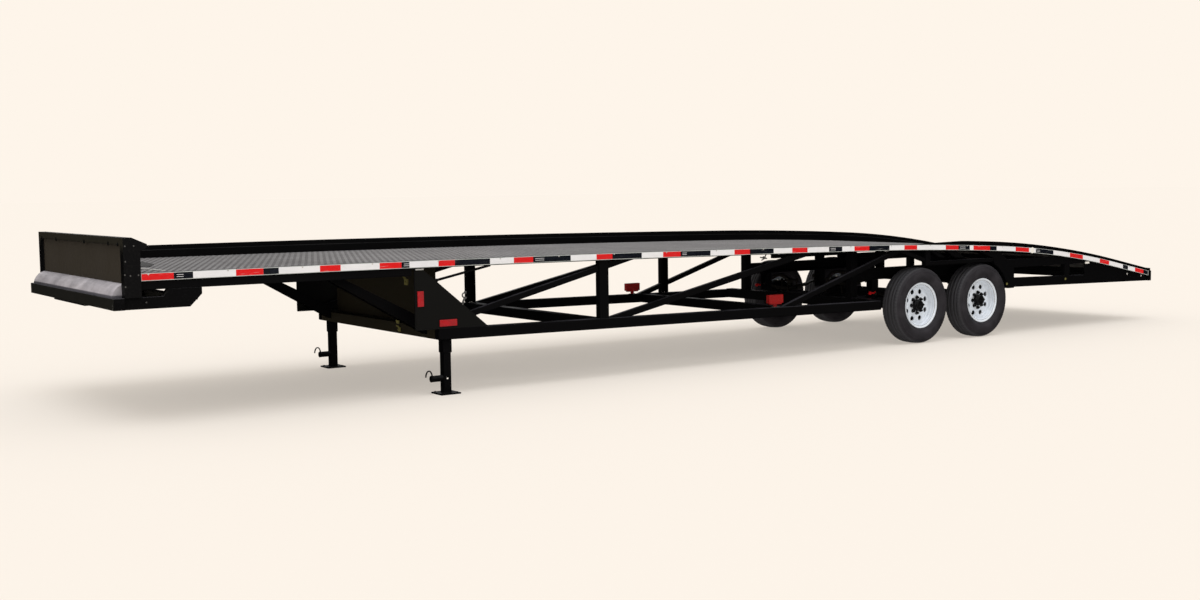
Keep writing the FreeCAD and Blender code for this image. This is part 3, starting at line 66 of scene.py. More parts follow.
class Wire:
    """A shader socket that takes part in sums."""

    def __init__(self, tree, socket=None):
        self.tree = tree
        self.socket = socket

    def node(self, kind, settings=None, inlets=None, outlet=0):
        """Adds a node: settings first, then its sockets, each a number, a colour or another Wire."""
        made = self.tree.nodes.new(kind)
        for key, value in (settings or {}).items():
            setattr(made, key, value)
        for key, value in (inlets or {}).items():
            if isinstance(value, Wire):
                self.tree.links.new(value.socket, made.inputs[key])
            else:
                made.inputs[key].default_value = value
        return Wire(self.tree, made.outputs[outlet])

    def math(self, operation, *values):
        return self.node("ShaderNodeMath", {"operation": operation}, dict(enumerate(values)))

    def __add__(self, other):
        return self.math("ADD", self, other)

    def __radd__(self, other):
        return self.math("ADD", other, self)

    def __sub__(self, other):
        return self.math("SUBTRACT", self, other)

    def __rsub__(self, other):
        return self.math("SUBTRACT", other, self)

    def __mul__(self, other):
        return self.math("MULTIPLY", self, other)

    def __rmul__(self, other):
        return self.math("MULTIPLY", other, self)

    def clamp(self, low, high):
        """0 at low, 1 at high, and straight between."""
        return self.node("ShaderNodeMapRange", {"clamp": True}, {0: self, 1: low, 2: high, 3: 0.0, 4: 1.0})

    def mix(self, first, second):
        """Colour between two colours, with this socket as the share of the second."""
        colours = {6: (*first, 1) if isinstance(first, tuple) else first,
                   7: (*second, 1) if isinstance(second, tuple) else second}
        return self.node("ShaderNodeMix", {"data_type": "RGBA"}, {0: self, **colours}, outlet=2)

    def place(self, stretch=(1, 1, 1)):
        """Position on the part in metres, stretched."""
        where = self.node("ShaderNodeTexCoord", outlet=3)
        return self.node("ShaderNodeVectorMath", {"operation": "MULTIPLY"}, {0: where, 1: stretch})

    def noise(self, scale, detail=3.0, rough=0.55, stretch=(1, 1, 1)):
        return self.node("ShaderNodeTexNoise", {}, {"Vector": self.place(stretch), "Scale": scale,
                                                    "Detail": detail, "Roughness": rough})

    def cells(self, scale, feature="F1"):
        """Distance to the middle of a cell, or to its wall with DISTANCE_TO_EDGE."""
        return self.node("ShaderNodeTexVoronoi", {"feature": feature},
                         {"Vector": self.place(), "Scale": scale})

    def axis(self, letter):
        """Position along one axis, in metres."""
        return self.node("ShaderNodeSeparateXYZ", {}, {0: self.place()}, outlet="XYZ".index(letter))

    def facing(self, letter):
        """How far the surface faces along an axis, from -1 to 1."""
        normal = self.node("ShaderNodeNewGeometry", outlet=1)
        return self.node("ShaderNodeSeparateXYZ", {}, {0: normal}, outlet="XYZ".index(letter))

    def bump(self, distance):
        return self.node("ShaderNodeBump", {}, {"Height": self, "Distance": distance, "Strength": 1.0})


def shader_socket(tree, key):
    surface = next(n for n in tree.nodes if n.type == "BSDF_PRINCIPLED")
    return surface.inputs[key.replace("_", " ")]


def new_finish(name, **fixed):
    """Material with a Principled surface; fixed holds what is the same all over it."""
    material = bpy.data.materials.new(name)
    material.use_nodes = True
    for key, value in fixed.items():
        shader_socket(material.node_tree, key).default_value = value
    return material, Wire(material.node_tree)


def feed(wire, **inlets):
    """Links what varies over a surface to the shader's sockets."""
    for key, value in inlets.items():
        wire.tree.links.new(value.socket, shader_socket(wire.tree, key))


ORANGE_PEEL = 0.00025
SPECK_SHARE = 0.02


def paint(name, colour, dust, dust_and_highlight_share, rough):
    """Sprayed paint with orange peel, dust and a painted highlight on top faces, and dull patches; rough is
    its least and most.
    """
    material, wire = new_finish(name, Specular_IOR_Level=0.06)
    broad = wire.noise(2.2, 5)
    fine = wire.noise(60.0, 2)
    specks = wire.noise(210.0, 2, 0.7).clamp(0.62, 0.78)
    # Upper faces lighten towards the dust colour: dust, and a painted highlight on top.
    top = wire.facing("Z").clamp(0.3, 0.95)
    dust_and_highlight = (top * broad.clamp(0.35, 0.75) * dust_and_highlight_share) + specks * SPECK_SHARE
    feed(wire, Base_Color=dust_and_highlight.mix(colour, dust),
         Roughness=(broad.clamp(0.3, 0.7) * (rough[1] - rough[0]) + rough[0]) + dust_and_highlight * 0.25,
         Normal=fine.bump(ORANGE_PEEL))
    return material


# Its upper faces lighten to pale blue-grey: dust and a painted highlight.
black = paint("chassis_black", (0.0034, 0.0034, 0.0040), (0.078, 0.078, 0.096), 0.9, (0.3, 0.45))

SIDES = (("left", 1), ("right", -1))
SINGLE_NODES = ["coupler_plate", "deck_cross_members", "lower_cross_members", "knee_braces",
                "bay_frame_front", "bay_frame_rear", "rear_end_plate", "axle_front", "axle_rear"]
PAIRED_NODES = ["side_rail", "lower_chord", "truss_web", "leg_outer", "leg_inner", "suspension_rail",
                "bay_tie", "rear_frame"]
TUBE_CORNER, PLATE_CORNER = 0.008, 0.003
SAME_POINT = 0.00002
SHARP_FROM = math.radians(40)


def dress(name, material, round_edge):
    """Gives a CAD node its finish and rounds its edges."""
    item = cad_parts[name]
    item.data.materials.clear()
    item.data.materials.append(material)
    if round_edge:
        weld = item.modifiers.new("weld", "WELD")
        weld.merge_threshold = SAME_POINT
        edge = item.modifiers.new("edge", "BEVEL")
        edge.width = round_edge
        edge.segments = 2
        edge.limit_method = "ANGLE"
        edge.angle_limit = SHARP_FROM
        edge.harden_normals = True


for name in SINGLE_NODES + [f"{stem}_{side}" for stem in PAIRED_NODES for side, _ in SIDES]:
    if name.startswith("axle"):
        corner = 0
    elif name.startswith(("lower_chord", "truss")):
        corner = TUBE_CORNER
    else:
        corner = PLATE_CORNER
    dress(name, black, corner)

# -------- marking strips along both sides of the deck
# A pale aluminium flat bar screwed to each side rail, with red, white and black bands of reflective film.
# The film has a fine honeycomb under a clear face; the bar's edges stay bare above and below it.

SAME_STATION, LEAST_DEPTH = 0.0002, 0.04
corners = np.array([v.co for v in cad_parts["marking_strip_left"].data.vertices])
stations = np.unique(corners[:, 0].round(4))
heights = [corners[np.abs(corners[:, 0] - x) < SAME_STATION][:, 2] for x in stations]
tops = np.array([h.max() for h in heights])
bottoms = np.array([h.min() for h in heights])
keep = tops - bottoms > LEAST_DEPTH
stations, tops = stations[keep], tops[keep]


def deck_z(x):
    """Height of the deck line at x, which is the strip's top edge."""
    return float(np.interp(x, stations, tops))


def join(parts):
    """One solid from several, each a list of points and a list of faces."""
    points, faces = [], []
    for more_points, more_faces in parts:
        start = len(points)
        points += list(more_points)
        faces += [tuple(i + start for i in face) for face in more_faces]
    return points, faces


def put(name, data):
    """New object in the scene."""
    item = bpy.data.objects.new(name, data)
    bpy.context.scene.collection.objects.link(item)
    return item


def mesh_of(name, solid, material=None, smooth=False):
    points, faces = solid
    mesh = bpy.data.meshes.new(name)
    mesh.from_pydata([tuple(p) for p in points], [], faces)
    mesh.update()
    work = bmesh.new()
    work.from_mesh(mesh)
    bmesh.ops.recalc_face_normals(work, faces=work.faces)
    work.to_mesh(mesh)
    work.free()
    if material:
        mesh.materials.append(material)
    if smooth:
        mesh.shade_smooth()
    return mesh


def new_piece(name, parts, material, smooth=False, replaces=()):
    """Piece of one or more parts with its finish, riding on the chassis."""
    item = put(name, mesh_of(name, join(parts), material, smooth))
    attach(item, "chassis")
    if replaces:
        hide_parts(*replaces)


def swept(rings):
    """Closed solid through rings of equally many points."""
    points = [p for ring in rings for p in ring]
    count = len(rings[0])
    faces = []
    for s in range(len(rings) - 1):
        for k in range(count):
            a, b = s * count + k, s * count + (k + 1) % count
            faces.append((a, b, b + count, a + count))
    faces.append(tuple(range(count)))
    faces.append(tuple(range(len(points) - count, len(points))))
    return points, faces


def deck_sweep(front, rear, outline, step=0.12):
    """Sweeps an outline of (y, height over the deck line) along the deck from front to rear."""
    count = max(2, int((front - rear) / step) + 1)
    places = np.linspace(front, rear, count)
    return swept([[(x, y, deck_z(x) + rise) for y, rise in outline] for x in places])


aluminium, wire = new_finish("bare_bar", Metallic=0.0)
streak = wire.noise(9.0, 4, 0.6, (1, 1, 6))
feed(wire, Base_Color=streak.clamp(0.3, 0.75).mix((0.42, 0.47, 0.47), (0.68, 0.72, 0.72)),
     Roughness=streak * 0.3 + 0.3, Normal=wire.noise(120.0).bump(0.0002))


def film(name, colour, deep, shade):
    """Prismatic film: honeycomb cells, dust and small scratches; shade is how far dust darkens it."""
    material, wire = new_finish(name, Specular_IOR_Level=0.2, Coat_Roughness=0.15)
    walls = 1.0 - wire.cells(240.0, "DISTANCE_TO_EDGE").clamp(0.02, 0.10)
    grime = wire.noise(7.0, 6, 0.65, (1, 1, 3)).clamp(0.42, 0.8)
    scratch = wire.noise(26.0, 3, 0.5, (0.3, 1, 6)).clamp(0.66, 0.72)
    tone = (walls * 0.22 + grime * shade).mix(colour, deep)
    feed(wire, Base_Color=(scratch * 0.35).mix(tone, (0.6, 0.6, 0.62)),
         Roughness=grime * 0.3 + 0.25, Normal=walls.bump(0.0003))
    return material


films = {
    "red": film("film_red", (0.74, 0.008, 0.010), (0.34, 0.002, 0.006), 0.35),
    "white": film("film_white", (0.83, 0.85, 0.90), (0.56, 0.59, 0.66), 0.35),
    "black": film("film_black", (0.003, 0.004, 0.008), (0.015, 0.022, 0.04), 0.3),
}
strip_low, strip_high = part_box("marking_strip_left")
BAR_DEPTH, BAR_CHAMFER = 0.055, 0.001
BAR_INNER = strip_low.y
BAR_OUTER = strip_high.y - 0.0012
FILM_OUTER = strip_high.y - 0.0002
FILM_EDGE, FILM_SINK, FILM_GAP, FILM_STEP = 0.0045, 0.0002, 0.0008, 0.08
END_MARGIN = 0.002
BAND_SHIFT = 0.004
# columns: front end, in metres from the middle of the trailer, and colour; a band ends where the next begins
BANDS = [
    (5.94, "red"), (5.71, "black"), (5.57, "white"), (5.25, "red"), (5.04, "black"), (4.92, "white"),
    (4.59, "red"), (4.42, "white"), (4.09, "red"), (3.90, "black"), (3.83, "white"), (3.57, "red"),
    (3.42, "black"), (3.09, "white"), (2.86, "red"), (2.67, "black"), (2.29, "white"), (2.02, "red"),
    (1.85, "black"), (1.53, "white"), (1.29, "red"), (1.09, "black"), (0.74, "white"), (0.45, "red"),
    (0.26, "black"), (-0.04, "white"), (-0.28, "red"), (-0.48, "white"), (-0.77, "black"), (-0.95, "white"),
    (-1.12, "red"), (-1.33, "black"), (-1.62, "white"), (-1.84, "red"), (-2.03, "white"), (-2.47, "red"),
    (-2.67, "black"), (-2.85, "white"), (-2.91, "red"), (-3.18, "black"), (-3.29, "white"), (-3.61, "red"),
    (-3.84, "white"), (-3.96, "black"), (-4.27, "white"), (-4.57, "red"), (-4.81, "white"), (-5.13, "red"),
    (-5.31, "white"), (-5.58, "black"), (-5.68, "white"), (-5.82, "red"), (-5.99, "black"), (-6.085, None),
]
for side, sign in SIDES:
    bar = [(sign * y, rise) for y, rise in (
        (BAR_INNER, -BAR_CHAMFER), (BAR_OUTER - BAR_CHAMFER, -BAR_CHAMFER), (BAR_OUTER, -2 * BAR_CHAMFER),
        (BAR_OUTER, -BAR_DEPTH + BAR_CHAMFER), (BAR_OUTER - BAR_CHAMFER, -BAR_DEPTH),
        (BAR_INNER, -BAR_DEPTH))]
    new_piece(f"edge_bar_{side}", [deck_sweep(strip_high.x, strip_low.x, bar)], aluminium,
              replaces=[f"marking_strip_{side}"])
    face = [(sign * y, rise) for y, rise in (
        (BAR_OUTER - FILM_SINK, -FILM_EDGE), (FILM_OUTER, -FILM_EDGE),
        (FILM_OUTER, -BAR_DEPTH + FILM_EDGE), (BAR_OUTER - FILM_SINK, -BAR_DEPTH + FILM_EDGE))]
    for colour, material in films.items():
        parts = []
        for (front, shade), (rear, _) in zip(BANDS, BANDS[1:]):
            if shade == colour:
                front = min(front + BAND_SHIFT, strip_high.x - END_MARGIN)
                rear = max(rear + BAND_SHIFT + FILM_GAP, strip_low.x + END_MARGIN)
                parts.append(deck_sweep(front, rear, face, FILM_STEP))
        new_piece(f"film_{colour}_{side}", parts, material)

# -------- ticks, screws and marker lamps on the strips
# Every second black film carries two pale printed ticks, and one clear round marker lamp sits by the tail.
# Screws with bright, nearly level heads hold the bar along its whole length.


def around(sides):
    """Angles of a ring's corners."""
    return np.linspace(0, 2 * math.pi, sides + 1)[:-1]


def ring_on(point, beside, above, radius, sides):
    """Ring of corners about a point, in the plane of two directions."""
    return [point + (beside * math.cos(a) + above * math.sin(a)) * radius for a in around(sides)]


def tube(path, radius, sides=10):
    """Round bar along a path of points."""
    spine = [Vector(p) for p in path]
    beside, rings = None, []
    for i, point in enumerate(spine):
        ahead = (spine[min(i + 1, len(spine) - 1)] - spine[max(i - 1, 0)]).normalized()
        beside = ahead.orthogonal() if beside is None else beside - ahead * beside.dot(ahead)
        beside.normalize()
        rings.append(ring_on(point, beside, ahead.cross(beside), radius, sides))
    return swept(rings)


def turned(profile, place, out, sides=20):
    """Closed solid of (radius, height) points turned about an axis that starts at a place."""
    turn = Vector(out).normalized().to_track_quat("Z", "Y")
    return swept([[Vector(place) + turn @ Vector((r * math.cos(a), r * math.sin(a), h))
                   for a in around(sides)] for r, h in profile])


def bolt(place, out, size):
    """Hexagonal head with its washer, standing out from a face."""
    washer = turned([(size * 1.35, -0.001), (size * 1.35, size * 0.18), (size * 1.25, size * 0.22)],
                    place, out, 16)
    head = turned([(size, size * 0.2), (size, size * 0.75), (size * 0.8, size * 0.9)], place, out, 6)
    return join([washer, head])


zinc, wire = new_finish("zinc_steel", Metallic=0.4)
bloom = wire.noise(70.0, 4)
feed(wire, Base_Color=bloom.mix((0.42, 0.42, 0.40), (0.74, 0.74, 0.72)),
     Roughness=bloom * 0.3 + 0.3, Normal=bloom.bump(0.0003))
clear_lens, wire = new_finish("clear_lens", Coat_Weight=0.5, Specular_IOR_Level=0.4)
prism = wire.cells(130.0)
feed(wire, Base_Color=prism.mix((0.80, 0.80, 0.77), (0.93, 0.93, 0.90)),
     Roughness=prism * 0.2 + 0.15, Normal=prism.bump(0.0006))
TICK_HEIGHT, TICK_WALL, TICK_RISE = 0.018, 0.003, 0.0001
TICK_INSET, TICK_LENGTH, TICK_LONGER = 0.02, 0.05, 0.02
SCREW_PITCH, SCREW_INSET = 0.58, 0.05
SCREW_DROP = FILM_EDGE + 0.004
SCREW_HEAD = [(0.007, -0.001), (0.0068, 0.0), (0.004, 0.0002)]
MARKER_X = -3.895
MARKER_LENS = [(0.033, -0.003), (0.033, 0.0), (0.031, 0.0001), (0.002, 0.0002)]
strip_middle = -BAR_DEPTH / 2
ticked = [front + BAND_SHIFT for front, shade in BANDS if shade == "black"][:-1:2]
for side, sign in SIDES:
    ticks = []
    for number, front in enumerate(ticked):
        tick_front = front - TICK_INSET
        tick_rear = tick_front - TICK_LENGTH - TICK_LONGER * (number % 3)
        for top in (strip_middle + TICK_HEIGHT / 2, strip_middle - TICK_HEIGHT / 2 + TICK_WALL):
            face = [(sign * y, rise) for y, rise in (
                (FILM_OUTER - FILM_SINK, top), (FILM_OUTER + TICK_RISE, top),
                (FILM_OUTER + TICK_RISE, top - TICK_WALL), (FILM_OUTER - FILM_SINK, top - TICK_WALL))]
            ticks.append(deck_sweep(tick_front, tick_rear, face))
    screws = [turned(SCREW_HEAD, (x, sign * FILM_OUTER, deck_z(x) - SCREW_DROP), (0, sign, 0), 12)
              for x in np.arange(strip_high.x - SCREW_INSET, strip_low.x + SCREW_INSET, -SCREW_PITCH)]
    new_piece(f"film_ticks_{side}", ticks, films["white"])
    new_piece(f"strip_screws_{side}", screws, zinc)
    lamp = turned(MARKER_LENS, (MARKER_X, sign * FILM_OUTER, deck_z(MARKER_X) + strip_middle),
                  (0, sign, 0), 28)
    new_piece(f"marker_lamp_{side}", [lamp], clear_lens)

# -------- deck: open grip planks laid across
# Steel planking with close diamond openings between raised strands, painted grey and worn bright on top; the
# openings show a near-black sheet of painted shade.
# The planks sit between the two side rails, follow the deck's curve and are welded to the cross members.

STRAND_PITCH, STRAND_SKEW = 0.054, 0.43
STRAND_HEIGHT, STRAND_ROOT = 0.0018, -0.0005
SHORTEST_STRAND, LONGEST_RUN = 0.02, 0.3
SHEET_DROP, UNDERSIDE_DROP = 0.0022, 0.009
SHEET_STEP, UNDERSIDE_ROWS = 0.06, 80
END_GAP, SIDE_GAP = 0.0005, 0.001
deck_low, deck_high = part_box("deck_grating")
deck_front, deck_rear = deck_high.x - END_GAP, deck_low.x + END_GAP
across = (deck_low.y + SIDE_GAP, deck_high.y - SIDE_GAP)
worn_grey, wire = new_finish("deck_strand", Specular_IOR_Level=0.04)
worn = wire.noise(14.0, 5, 0.6, (1, 4, 1)).clamp(0.35, 0.7)
broad = wire.noise(1.3, 4, 0.6).clamp(0.3, 0.7)
tone = (worn * 0.5 + broad * 0.3).mix((0.125, 0.127, 0.136), (0.275, 0.278, 0.294))
feed(wire, Base_Color=tone, Roughness=0.75 - worn * 0.15, Normal=wire.noise(160.0, 3).bump(0.0004))
# Painted shade: a near-black sheet under the strands stands for the dark seen through the openings, with fine
# grit in it.
shade_in_openings, wire = new_finish("deck_opening_shade", Specular_IOR_Level=0.04)
grit = wire.noise(90.0, 4, 0.65)
feed(wire, Base_Color=grit.mix((0.012, 0.012, 0.014), (0.040, 0.040, 0.044)),
     Roughness=grit * 0.2 + 0.7, Normal=grit.bump(0.0008))
under, wire = new_finish("deck_underside")
feed(wire,
     Base_Color=wire.noise(5.0, 5).clamp(0.3, 0.7).mix((0.012, 0.012, 0.013), (0.05, 0.048, 0.045)),
     Roughness=wire.noise(30.0) * 0.3 + 0.5, Normal=wire.noise(90.0).bump(0.0004))


def deck_sheet(places, edges, drop):
    """One sheet that follows the deck at a distance under its line."""
    points = [(x, y, deck_z(x) - drop) for x in places for y in edges]
    return points, [(2 * r, 2 * r + 1, 2 * r + 3, 2 * r + 2) for r in range(len(places) - 1)]


sheet_places = [*np.arange(deck_front, deck_low.x, -SHEET_STEP), deck_rear]
new_piece("deck_shade_under_openings", [deck_sheet(sheet_places, across, SHEET_DROP)], shade_in_openings, True)
# columns: skew of one family of strands, and its foot's and its top's width as shares of the pitch
STRAND_FAMILIES = ((-STRAND_SKEW, 0.56, 0.44), (STRAND_SKEW, 0.24, 0.14))
for family, (lean, foot, top) in enumerate(STRAND_FAMILIES):
    strands = []
    reach = abs(lean) * deck_high.y
    room = foot * STRAND_PITCH / 2 + SIDE_GAP
    outline = ((-foot, STRAND_ROOT), (-top, STRAND_HEIGHT), (top, STRAND_HEIGHT), (foot, STRAND_ROOT))
    for k in range(math.floor((deck_low.x - reach) / STRAND_PITCH),
                   math.ceil((deck_high.x + reach) / STRAND_PITCH) + 1):
        middle = k * STRAND_PITCH
        ends = sorted(((deck_low.x + room - middle) / -lean, (deck_high.x - room - middle) / -lean))
        first, last = max(ends[0], across[0]), min(ends[1], across[1])
        if last - first < SHORTEST_STRAND:
            continue
        rings = []
        for y in np.linspace(first, last, 2 + int((last - first) / LONGEST_RUN)):
            x = middle - lean * y
            rings.append([(x + share * STRAND_PITCH / 2, y, deck_z(x) - SHEET_DROP + lift)
                          for share, lift in outline])
        strands.append(swept(rings))
    new_piece(f"deck_strands_{family + 1}", strands, worn_grey)
new_piece("deck_underside", [deck_sheet(np.linspace(deck_front, deck_rear, UNDERSIDE_ROWS),
                                        (deck_low.y, deck_high.y), UNDERSIDE_DROP)],
          under, True, replaces=["deck_grating"])

# -------- raised curb on the right side
# A curb of folded steel in two steps, welded on top of the right rail to keep the wheels on the deck.
# It is sprayed black like the frame, with less dust and painted highlight on its upper faces.

curb_black = paint("curb_black", (0.0022, 0.0022, 0.0026), (0.06, 0.06, 0.065), 0.3, (0.3, 0.5))
dress("curb_right", curb_black, 0.004)

# -------- headboard
# A frame of steel tube with side plates, closed by two dark sheets; bolts go through the side plates.
# The sheets have an olive cast from road dust, and the frame's top is paler where it faces forward.

olive = paint("headboard_sheet", (0.046, 0.040, 0.032), (0.06, 0.054, 0.042), 0.5, (0.4, 0.6))
head_black, wire = new_finish("headboard_black", Specular_IOR_Level=0.05)
ahead = wire.facing("X").clamp(0.4, 0.9) * wire.axis("Z").clamp(1.24, 1.32)
# Upper faces lighten to pale grey: dust and a painted highlight.
dust = wire.facing("Z").clamp(0.5, 1.0) * 0.5 + wire.noise(60.0, 4, 0.65).clamp(0.5, 0.8) * 0.1
base = ahead.mix((0.0052, 0.0052, 0.0058), (0.026, 0.0245, 0.0185))
feed(wire, Base_Color=dust.mix(base, (0.06, 0.058, 0.055)), Roughness=wire.noise(3.0) * 0.2 + 0.35,
     Normal=wire.noise(60.0, 2).bump(ORANGE_PEEL))
dress("headboard_frame", head_black, PLATE_CORNER)
dress("headboard_panels", olive, 0)

# -------- fairing sheet and kingpin
# A rolled sheet of bare, scuffed steel between the nose beam and the headboard, with a seam in its middle.
# It is held by small tabs at its top; the kingpin below is machined steel, welded into the coupler plate.

bare, wire = new_finish("bare_sheet", Metallic=0.15)
cloud = wire.noise(6.0, 6, 0.6)
smear = wire.noise(22.0, 4, 0.6, (1, 0.35, 1)).clamp(0.45, 0.75)
seam = 1.0 - wire.axis("Y").math("ABSOLUTE", wire.axis("Y")).clamp(0.002, 0.006)
tone = cloud.clamp(0.35, 0.7).mix((0.34, 0.335, 0.38), (0.54, 0.53, 0.59))
fold = 1.0 - wire.axis("Z").clamp(0.948, 0.954)
tone = fold.mix(tone, (0.085, 0.085, 0.108))
feed(wire, Base_Color=(smear * 0.3 + seam * 0.5).mix(tone, (0.14, 0.13, 0.14)),
     Roughness=cloud * 0.3 + 0.35, Normal=(cloud - seam * 0.2).bump(0.003))
dress("nose_sheet", bare, 0.001)
steel, wire = new_finish("machined_steel", Metallic=1.0)
rings_cut = wire.noise(40.0, 3, 0.6, (1, 1, 10))
feed(wire, Base_Color=rings_cut.mix((0.32, 0.31, 0.30), (0.52, 0.51, 0.50)),
     Roughness=rings_cut * 0.25 + 0.2, Normal=rings_cut.bump(0.0002))
dress("kingpin", steel, 0)

# -------- gusset plates with reflectors and latch
# Big side plates that carry the deck's load down to the chord, welded all round and sprayed satin black.
# Each has two red reflectors, a sliding latch on its sloping edge and a thin stay rod to the deck.

satin = paint("gusset_black", (0.0072, 0.0074, 0.0072), (0.05, 0.05, 0.05), 0.3, (0.45, 0.6))
reflector, wire = new_finish("reflector_red", Specular_IOR_Level=0.35)
walls = 1.0 - wire.cells(170.0, "DISTANCE_TO_EDGE").clamp(0.03, 0.16)
scrub = wire.noise(18.0, 4).clamp(0.35, 0.75)
feed(wire, Base_Color=(walls * 0.4 + scrub * 0.35).mix((0.50, 0.004, 0.010), (0.16, 0.002, 0.005)),
     Roughness=scrub * 0.2 + 0.3, Normal=walls.bump(0.0006))
dull_zinc = paint("dull_zinc", (0.09, 0.09, 0.09), (0.20, 0.20, 0.20), 0.5, (0.35, 0.5))
weld_metal = paint("weld_black", (0.006, 0.006, 0.0062), (0.05, 0.05, 0.05), 0.25, (0.3, 0.45))
DAB_PITCH, DAB_WAIST = 0.009, 0.78


def bead(start, end, radius=0.0045):
    """Weld run between two points, with the ripples that each dab leaves."""
    start, end = Vector(start), Vector(end)
    steps = 2 * max(3, int((end - start).length / DAB_PITCH))
    ahead = (end - start).normalized()
    beside = ahead.orthogonal().normalized()
    return swept([ring_on(start.lerp(end, i / steps), beside, ahead.cross(beside),
                          radius * (1.0 if i % 2 else DAB_WAIST), 6) for i in range(steps + 1)])


def panel(low, high, bevel=0.002):
    """Flat block between two corners with its edges rounded off."""
    work = bmesh.new()
    bmesh.ops.create_cube(work, size=1.0)
    low, high = Vector(low), Vector(high)
    for vertex in work.verts:
        vertex.co = Vector(((low[k] + high[k]) / 2 + vertex.co[k] * abs(high[k] - low[k])) for k in range(3))
    bmesh.ops.bevel(work, geom=list(work.edges), offset=bevel, segments=2, affect="EDGES", profile=0.6)
    work.verts.index_update()
    points = [tuple(v.co) for v in work.verts]
    faces = [tuple(v.index for v in face.verts) for face in work.faces]
    work.free()
    return points, faces


gusset_low, gusset_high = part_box("gusset_left")
front, rear, low, high = gusset_high.x, gusset_low.x, gusset_low.z, gusset_high.z
# columns: rear end, lower edge, front end and upper edge of a reflector
REFLECTORS = ((3.707, 0.735, 3.762, 0.859), (3.408, 0.563, 3.566, 0.617))
REFLECTOR_RISE = 0.008
STAY_FRONT, STAY_REAR, STAY_INSET, STAY_RADIUS = (3.590, 0.938), (3.078, 1.040), 0.012, 0.0105
LATCH_INSET, LATCH_ARM = 0.006, ((3.350, 0.728), (3.338, 0.760), (3.330, 0.778), (3.312, 0.786))
LATCH_EYE, EYE_RADIUS = (3.330, 0.806), 0.018
LATCH_KNOB = [(0.004, 0.0), (0.011, 0.002), (0.011, 0.012), (0.004, 0.016)]
for side, sign in SIDES:
    dress(f"gusset_{side}", satin, 0.002)
    out = sign * gusset_high.y
    mirrors = [panel((x1, out - sign * 0.001, z1), (x2, out + sign * REFLECTOR_RISE, z2))
               for x1, z1, x2, z2 in REFLECTORS]
    new_piece(f"gusset_reflectors_{side}", mirrors, reflector)
    welds = [bead((front - 0.003, out, low + 0.006), (front - 0.003, out, high - 0.004)),
             bead((front - 0.004, out, low + 0.006), (rear + 0.02, out, low + 0.002)),
             bead((front - 0.01, out, high - 0.003), (front - 0.06, out, high - 0.003))]
    new_piece(f"gusset_welds_{side}", welds, weld_metal)
    tab = panel((3.700, out - sign * 0.004, high - 0.014), (3.775, out + sign * 0.004, high - 0.002), 0.001)
    new_piece(f"gusset_tab_{side}", [tab], zinc)
    stay = [tube([(x, out - sign * STAY_INSET, z) for x, z in (STAY_FRONT, STAY_REAR)], STAY_RADIUS, 12),
            panel((3.570, out - sign * 0.02, 0.925), (3.612, out - sign * 0.004, 0.953), 0.003)]
    new_piece(f"stay_rod_{side}", stay, black)
    hold = out - sign * LATCH_INSET
    latch = [tube([(x, hold, z) for x, z in LATCH_ARM], 0.009, 12),
             tube([(LATCH_EYE[0] + EYE_RADIUS * math.cos(a), hold, LATCH_EYE[1] + EYE_RADIUS * math.sin(a))
                   for a in np.linspace(-2.0, 2.6, 14)], 0.006),
             turned(LATCH_KNOB, (3.320, hold, 0.824), (0, 0, 1), 14),
             panel((3.342, hold - 0.004, 0.715), (3.372, hold + 0.004, 0.748))]
    new_piece(f"gusset_latch_{side}", latch, dull_zinc, smooth=True)

# -------- nose beam and headboard fittings
# The front beam is a folded steel channel bolted to the headboard's side plates with countersunk bolts.
# Its own paint is thinner and greyer; small tabs hold the fairing sheet and the headboard's rail.

nose_paint, wire = new_finish("nose_paint", Specular_IOR_Level=0.05)
ahead = wire.facing("X").clamp(0.4, 0.9)
# Upper faces lighten to pale blue-grey: dust and a painted highlight.
dust = wire.facing("Z").clamp(0.5, 1.0) * 0.8 + wire.noise(70.0, 3, 0.7).clamp(0.55, 0.85) * 0.12
base = ahead.mix((0.0034, 0.0034, 0.0038), (0.0175, 0.0175, 0.0155))
feed(wire, Base_Color=dust.mix(base, (0.075, 0.075, 0.088)),
     Roughness=wire.noise(3.0, 5) * 0.2 + 0.3, Normal=wire.noise(60.0, 2).bump(ORANGE_PEEL))
dress("nose_frame", nose_paint, PLATE_CORNER)
nose_low, nose_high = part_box("nose_frame")
head_face, head_side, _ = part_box("headboard_frame")[1]
LEVEL = 0.00004


def flush_head(place, out, radius=0.0055):
    """Countersunk head that sits level with its face."""
    return turned([(radius, -0.003), (radius, LEVEL / 4), (radius * 0.8, LEVEL), (radius * 0.25, LEVEL)],
                  place, out, 16)


def bolted_tab(back, front, y, z, half_width, half_height, size):
    """Small plate that faces forward, with one bolt in its middle."""
    return join([panel((back, y - half_width, z - half_height), (front, y + half_width, z + half_height),
                       0.0015),
                 bolt((front, y, z), (1, 0, 0), size)])


